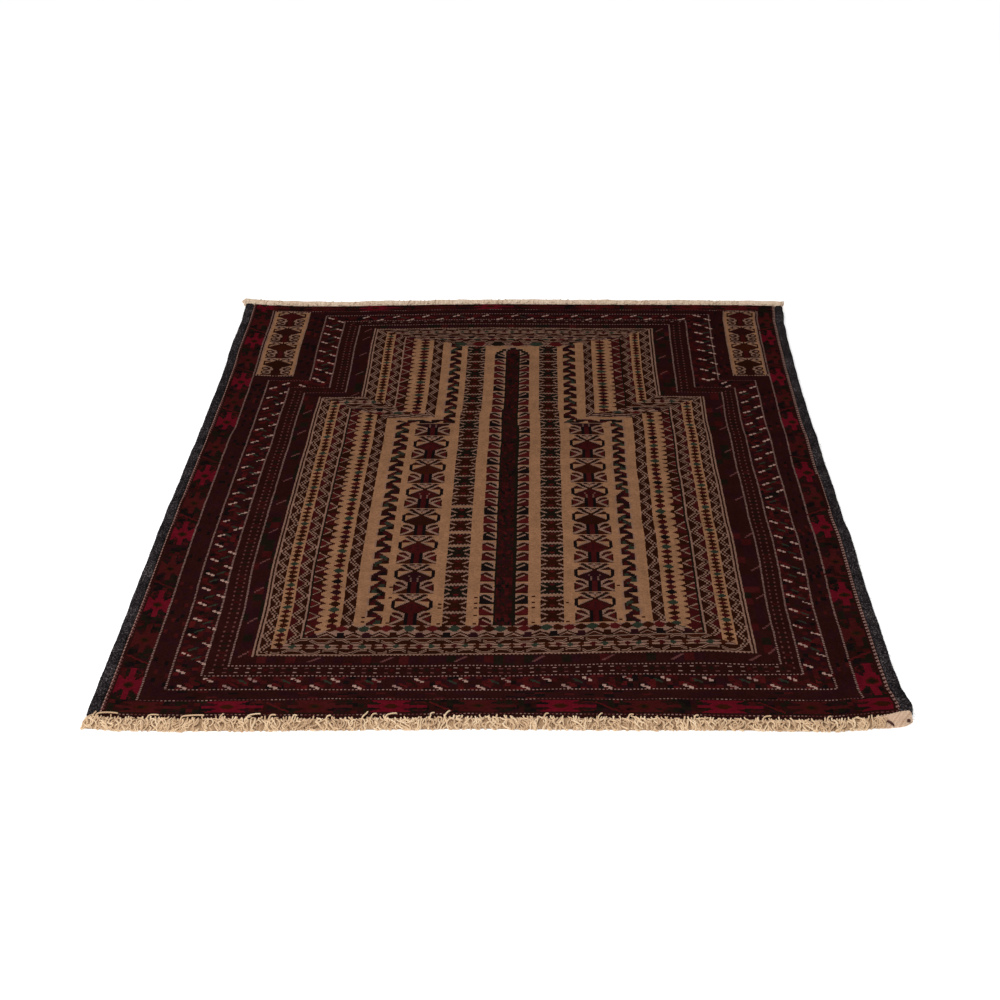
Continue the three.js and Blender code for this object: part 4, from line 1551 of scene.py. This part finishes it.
NEAR_SPOTS = [
    (9, 0, 10, 8), (12, 3, 33, 7), (66, 3, 76, 4), (101, 1, 123, 3), (141, 0, 143, 7), (169, 3, 181, 8),
    (192, 3, 197, 4), (216, 2, 219, 3), (251, 1, 254, 3), (288, 0, 292, 15), (297, 3, 301, 8),
    (312, 4, 322, 9), (358, 2, 361, 10), (373, 3, 377, 15), (476, 1, 479, 6), (532, 1, 535, 8),
    (563, 1, 567, 5), (631, 0, 634, 4), (702, 1, 709, 4), (768, 0, 771, 5)]


def fringe(name, outward, node):
    rng = np.random.default_rng(101 if outward < 0 else 202)
    end_at = near_end if outward < 0 else far_end
    column = 3 if outward < 0 else 4
    left = float(left_side(745 * outward)) - (2.5 if outward > 0 else 0.0)
    right = float(right_side(745 * outward)) - (30 if outward < 0 else 2.0)
    if outward < 0:
        layers = ((230, (0.90, 1.04), 3.2, (0.85, 1.08), 3.0, -0.5, 0.35, (1.6, 3.0)), (240, (0.42, 0.78), 6.9, (0.78, 1.02), 2.8, -2.6, 0.5, (4.6, 7.8)),
                  (240, (0.74, 1.02), 6.6, (0.78, 1.05), 3.0, -1.2, 0.35, (2.0, 5.5)))
    else:
        layers = ((200, (0.80, 1.0), 6.5, (0.8, 1.05), 2.8, -0.5, 0.5, (2.0, 5.0)), (250, (0.40, 0.75), 12.4, (0.78, 1.0), 2.0, -3.2, 0.8, (7.6, 9.6)),
                  (250, (0.66, 1.0), 11.8, (0.78, 1.0), 2.2, -2.4, 0.6, (6.6, 9.0)))
    groups = []
    for n, share, tall, r, curl, start, low, root in layers:
        x0 = np.linspace(left, right, n) + rng.normal(0, 1.0, n)
        groups.append(curls(rng, x0, end_at, outward, along(ENDS, column, x0) * 1.02 + 0.6, share, tall, r, curl, start, low=low, root=root))
    if outward < 0:
        # the rounded tip at the left corner, and the strands that lie back on the pile
        x0 = left + rng.uniform(-1.0, 3.0, 12)
        path, radii = curls(rng, x0, end_at, outward, np.full(12, 19.5), (0.6, 0.98), 6.0, (0.9, 1.1), 2.0)
        path[..., 0] -= 1.2 * np.sin(np.pi * np.linspace(0, 1, path.shape[1]))[None, :]
        groups.append((path, radii))
        spots = [(left + xa, da, left + xb, db) for xa, da, xb, db in NEAR_SPOTS]
        groups.append(laid_over(rng, spots, end_at, outward))
    else:
        x0 = left + rng.uniform(-1.0, 4.0, 10)
        path, radii = curls(rng, x0, end_at, outward, np.full(10, 17.0), (0.3, 0.7), 11.5, (0.8, 1.0), 2.0)
        path[..., 0] -= 3.0 * np.sin(np.pi * np.linspace(0, 1, path.shape[1]))[None, :]
        groups.append((path, radii))
        across = rng.uniform(left + 8, right - 8, 26)
        spots = [(a, 0.5, a + rng.normal(0, 5), rng.uniform(2, 6)) for a in across]
        groups.append(laid_over(rng, spots, end_at, outward, r=(0.7, 0.9)))
    path = np.concatenate([g[0] for g in groups])
    radii = np.concatenate([g[1] for g in groups])
    points, quads, tris, ply = tubes(path, radii, 5)
    obj = make_mesh(name, points, quads, tris)
    n, k = path.shape[:2]
    put(obj, "ply", "FLOAT_VECTOR", "POINT", ply)
    put(obj, "strand", "FLOAT", "POINT", np.repeat(np.arange(n), k * 5).astype(float))
    obj.data.materials.append(warp_material if outward < 0 else far_material)
    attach(obj, "root")
    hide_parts(node)
    return obj


def extrude(name, xs, section, out, z, ply, strand, material, flip):
    """A closed section (columns of out and z) carried along xs."""
    n = section
    y = out
    points = np.stack([np.repeat(xs[:, None], n, 1), y, z], -1).reshape(-1, 3)
    i = np.arange(len(xs) - 1)[:, None] * n
    j = np.arange(n)[None, :]
    jn = (j + 1) % n
    quads = np.stack([i + j, i + jn, i + jn + n, i + j + n], -1).reshape(-1, 4)
    ends = [np.arange(n)[::-1], (len(xs) - 1) * n + np.arange(n)]
    if flip:
        quads = quads[:, ::-1]
        ends = [e[::-1] for e in ends]
    obj = make_mesh(name, points, quads, ngons=ends)
    put(obj, "ply", "FLOAT_VECTOR", "POINT", ply.reshape(-1, 3))
    put(obj, "strand", "FLOAT", "POINT", strand.ravel().astype(float))
    obj.data.materials.append(material)
    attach(obj, "root")
    return obj


def end_strip(name, outward):
    """The narrow woven strip that the fringe grows from: rounded, with a thread's ridges. At the near end it takes a
    darker copy of the warp yarn, painted shade under and between the fringe's strands.
    """
    end_at = near_end if outward < 0 else far_end
    left = float(left_side(745 * outward)) + (1.0 if outward < 0 else -1.0)
    right = float(right_side(745 * outward)) - (20.0 if outward < 0 else 1.0)
    xs = np.arange(left, right, 0.9)
    if outward < 0:
        section = np.array([(-1.0, 0.5), (-1.0, 4.2), (1.2, 4.5), (4.0, 4.0), (8.0, 3.0), (12.0, 2.1), (15.5, 1.4), (17.0, 0.8), (17.6, 0.35), (2.0, 0.15)])
    else:
        section = np.array([(-1.0, 0.5), (-1.0, 7.4), (1.6, 9.6), (5.0, 11.0), (9.0, 11.0), (12.5, 9.0), (15.0, 5.6), (16.8, 2.4), (17.2, 0.35), (2.0, 0.15)])
    n = len(section)
    thread = 0.5 * np.abs(np.sin(np.pi * xs / 2.7 + 0.9 * np.sin(xs / 13.0)))
    reach = along(ENDS, 3 if outward < 0 else 4, xs)[:, None] / 20.5
    out = section[None, :, 0] * np.where(section[None, :, 0] > 0, reach, 1) + 0.35 * np.sin(xs / 7.0)[:, None]
    z = section[None, :, 1] + thread[:, None] * (section[None, :, 1] > 1)
    z = z * (1 + 0.03 * np.sin(xs / 19.0) + 0.03 * np.sin(xs / 6.1 + 2))[:, None]
    y = end_at(np.repeat(xs[:, None], n, 1)) + outward * out
    ply = np.stack([np.cos(out), np.sin(out), np.repeat(xs[:, None], n, 1)], -1)
    strand = np.repeat(np.floor(xs / 2.1)[:, None], n, 1)
    return extrude(name, xs, n, y, z, ply, strand, shaded_roots_material if outward < 0 else far_material, outward < 0)


def corner_tab():
    """The near right corner: a small woven flap drawn back over the edge, its threads aslant."""
    right = float(right_side(-745)) - 1.0
    xs = np.arange(right - 35.0, right + 0.01, 0.35)
    top = [(-2.6, 6.6), (-2.4, 7.9), (-0.6, 8.3), (1.2, 8.0), (3.0, 7.3), (5.0, 6.6), (7.0, 5.9), (9.0, 5.2), (11.0, 4.5),
           (13.0, 3.8), (15.0, 3.1), (17.0, 2.3), (18.6, 1.5), (19.4, 0.8), (19.0, 0.25)]
    section = np.array(top + [(10.0, 0.2), (1.0, 0.3), (0.8, 5.6)])
    n = len(section)
    xx = np.repeat(xs[:, None], n, 1)
    so, sz = np.repeat(section[None, :, 0], len(xs), 0), np.repeat(section[None, :, 1], len(xs), 0)
    share = np.clip((xs - xs[0]) / 35.0, 0, 1)[:, None]
    limit = along(ENDS, 3, xs)[:, None] / 20.0
    grow = np.clip(so / 19.0, 0, 1)
    # the corner draws in at its right end, and lies lower where it meets the fringe
    so = so * (1 + grow * (limit - 1)) - grow * 9.5 * np.clip((share - 0.62) / 0.38, 0, 1) ** 2
    so = np.where(so < 0, so + 3.0 * (1 - np.clip(share / 0.6, 0, 1)), so)
    slant = (xx * 0.80 + so * 0.62) / 2.3
    thread = np.abs(np.sin(np.pi * slant)) ** 0.7
    above = (sz > 0.7) & (np.arange(n)[None, :] < len(top))
    z = sz * (1 - 0.24 * np.clip(1 - share / 0.7, 0, 1)) + np.where(above, 0.95 * thread - 0.5, 0)
    z = z + np.where(above, 0.5 * np.sin(xx / 5.5 + 1.0) * np.clip(so / 8, 0, 1), 0)
    z = np.where(share > 0.9, 0.25 + (z - 0.25) * (1 - 0.45 * ((share - 0.9) / 0.1) ** 2), z)
    y = near_end(xx) - so
    ply = np.stack([np.cos(so), np.sin(so), slant * 2.1], -1)
    return extrude("corner_tab", xs, n, y, np.maximum(z, 0.1), ply, np.floor(slant), tab_material, True)


def corner_stitches():
    """Dark wool stitches that hold the corner down."""
    right = float(right_side(-745))
    rng = np.random.default_rng(77)
    ctrl = []
    for dx, d0, ex, d1 in ((-29.0, 10.5, -22.5, 18.0), (-27.8, 10.0, -23.5, 15.5), (-26.4, 11.0, -22.5, 16.5),
                           (-7.6, 12.4, -4.6, 13.6), (-8.0, 13.6, -4.8, 14.6), (-7.2, 11.4, -4.6, 12.4)):
        row = []
        for f in (0.0, 0.25, 0.5, 0.75, 1.0):
            x = right + dx + (ex - dx) * f
            d = d0 + (d1 - d0) * f
            row.append((x, float(near_end(x)) - d, np.interp(d, [0, 3, 19], [8.3, 7.4, 1.8]) + 0.75 * math.sin(math.pi * f) + 0.1 + rng.normal(0, 0.08)))
        ctrl.append(row)
    path = bspline(np.array(ctrl, float), 11)
    points, quads, tris, ply = tubes(path, np.full((len(ctrl), 11), 0.72), 6)
    obj = make_mesh("corner_stitches", points, quads, tris)
    put(obj, "ply", "FLOAT_VECTOR", "POINT", ply)
    put(obj, "strand", "FLOAT", "POINT", np.repeat(np.arange(len(ctrl)), 66).astype(float))
    obj.data.materials.append(stitch_material)
    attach(obj, "root")
    return obj


hair_material = goat_hair("goat_hair", [(0.38, (7, 6, 7)), (0.47, (18, 15, 16)), (0.54, (41, 35, 37)), (0.64, (112, 103, 103))])
grey_hair_material = goat_hair("goat_hair_grey", [(0.38, (46, 42, 43)), (0.47, (84, 78, 79)), (0.54, (122, 115, 114)), (0.64, (158, 150, 147))])
warp_material = yarn_material(
    "warp_yarn",
    [(0.2, linear((173, 139, 107))), (0.45, linear((198, 166, 131))), (0.62, linear((214, 184, 148))), (0.85, linear((230, 205, 172)))],
    2.6)
far_material = yarn_material(
    "warp_yarn_far",
    [(0.2, linear((190, 162, 136))), (0.45, linear((212, 186, 160))), (0.62, linear((224, 200, 176))), (0.85, linear((236, 216, 194)))],
    2.6)
# the warp yarn again, made darker: painted shade for the near strip under the fringe
shaded_roots_material = yarn_material(
    "warp_roots_painted_shade",
    [(0.2, linear((120, 91, 63))), (0.45, linear((146, 115, 86))), (0.62, linear((164, 133, 101))), (0.85, linear((186, 156, 123)))],
    2.6)
tab_material = yarn_material(
    "tab_yarn",
    [(0.2, linear((170, 136, 110))), (0.45, linear((194, 162, 136))), (0.62, linear((210, 180, 154))), (0.85, linear((226, 200, 176)))],
    2.1)
stitch_material = yarn_material(
    "stitch_wool",
    [(0.2, linear((40, 20, 16))), (0.5, linear((66, 34, 27))), (0.85, linear((92, 52, 42)))],
    1.6, sheen=0.0)

rug_pile = pile()
rug_back = back()
cord_left = selvedge("selvedge_cord_left", -1, "selvedge_left")
cord_right = selvedge("selvedge_cord_right", 1, "selvedge_right")
hairs_left = stray_hairs("selvedge_hairs_left", -1)
hairs_right = stray_hairs("selvedge_hairs_right", 1)
near_fringe = fringe("fringe_strands_near", -1, "fringe_near")
far_fringe = fringe("fringe_strands_far", 1, "fringe_far")
near_strip = end_strip("end_strip_near", -1)
far_strip = end_strip("end_strip_far", 1)
tab = corner_tab()
stitches = corner_stitches()

# ---- floor and light --------------------------------------------------------------------

bpy.ops.mesh.primitive_plane_add(size=40, location=(0, 0, -0.0005))
floor = bpy.context.object
floor.name = "floor"
floor.data.materials.append(plain_floor())

world = bpy.data.worlds.new("soft_room")
bpy.context.scene.world = world
world.use_nodes = True
world.node_tree.nodes["Background"].inputs[0].default_value = (1, 1, 1, 1)
world.node_tree.nodes["Background"].inputs[1].default_value = 0.60


def softbox(name, where, aim, size, watts):
    data = bpy.data.lights.new(name, "AREA")
    data.shape = "RECTANGLE"
    data.size, data.size_y = size
    data.energy = watts
    obj = bpy.data.objects.new(name, data)
    obj.location = where
    obj.rotation_euler = (Vector(aim) - Vector(where)).to_track_quat("-Z", "Y").to_euler()
    bpy.context.scene.collection.objects.link(obj)
    return obj


softbox("softbox_front", (-0.7, -1.75, 1.75), (-0.1, -0.55, 0), (2.0, 1.4), 36)
softbox("softbox_side", (-2.0, 0.5, 1.9), (-0.2, 0, 0), (1.6, 2.0), 12)

scene = bpy.context.scene
scene.view_settings.view_transform = "Standard"
scene.view_settings.look = "None"
scene.view_settings.exposure = 0
scene.view_settings.gamma = 1
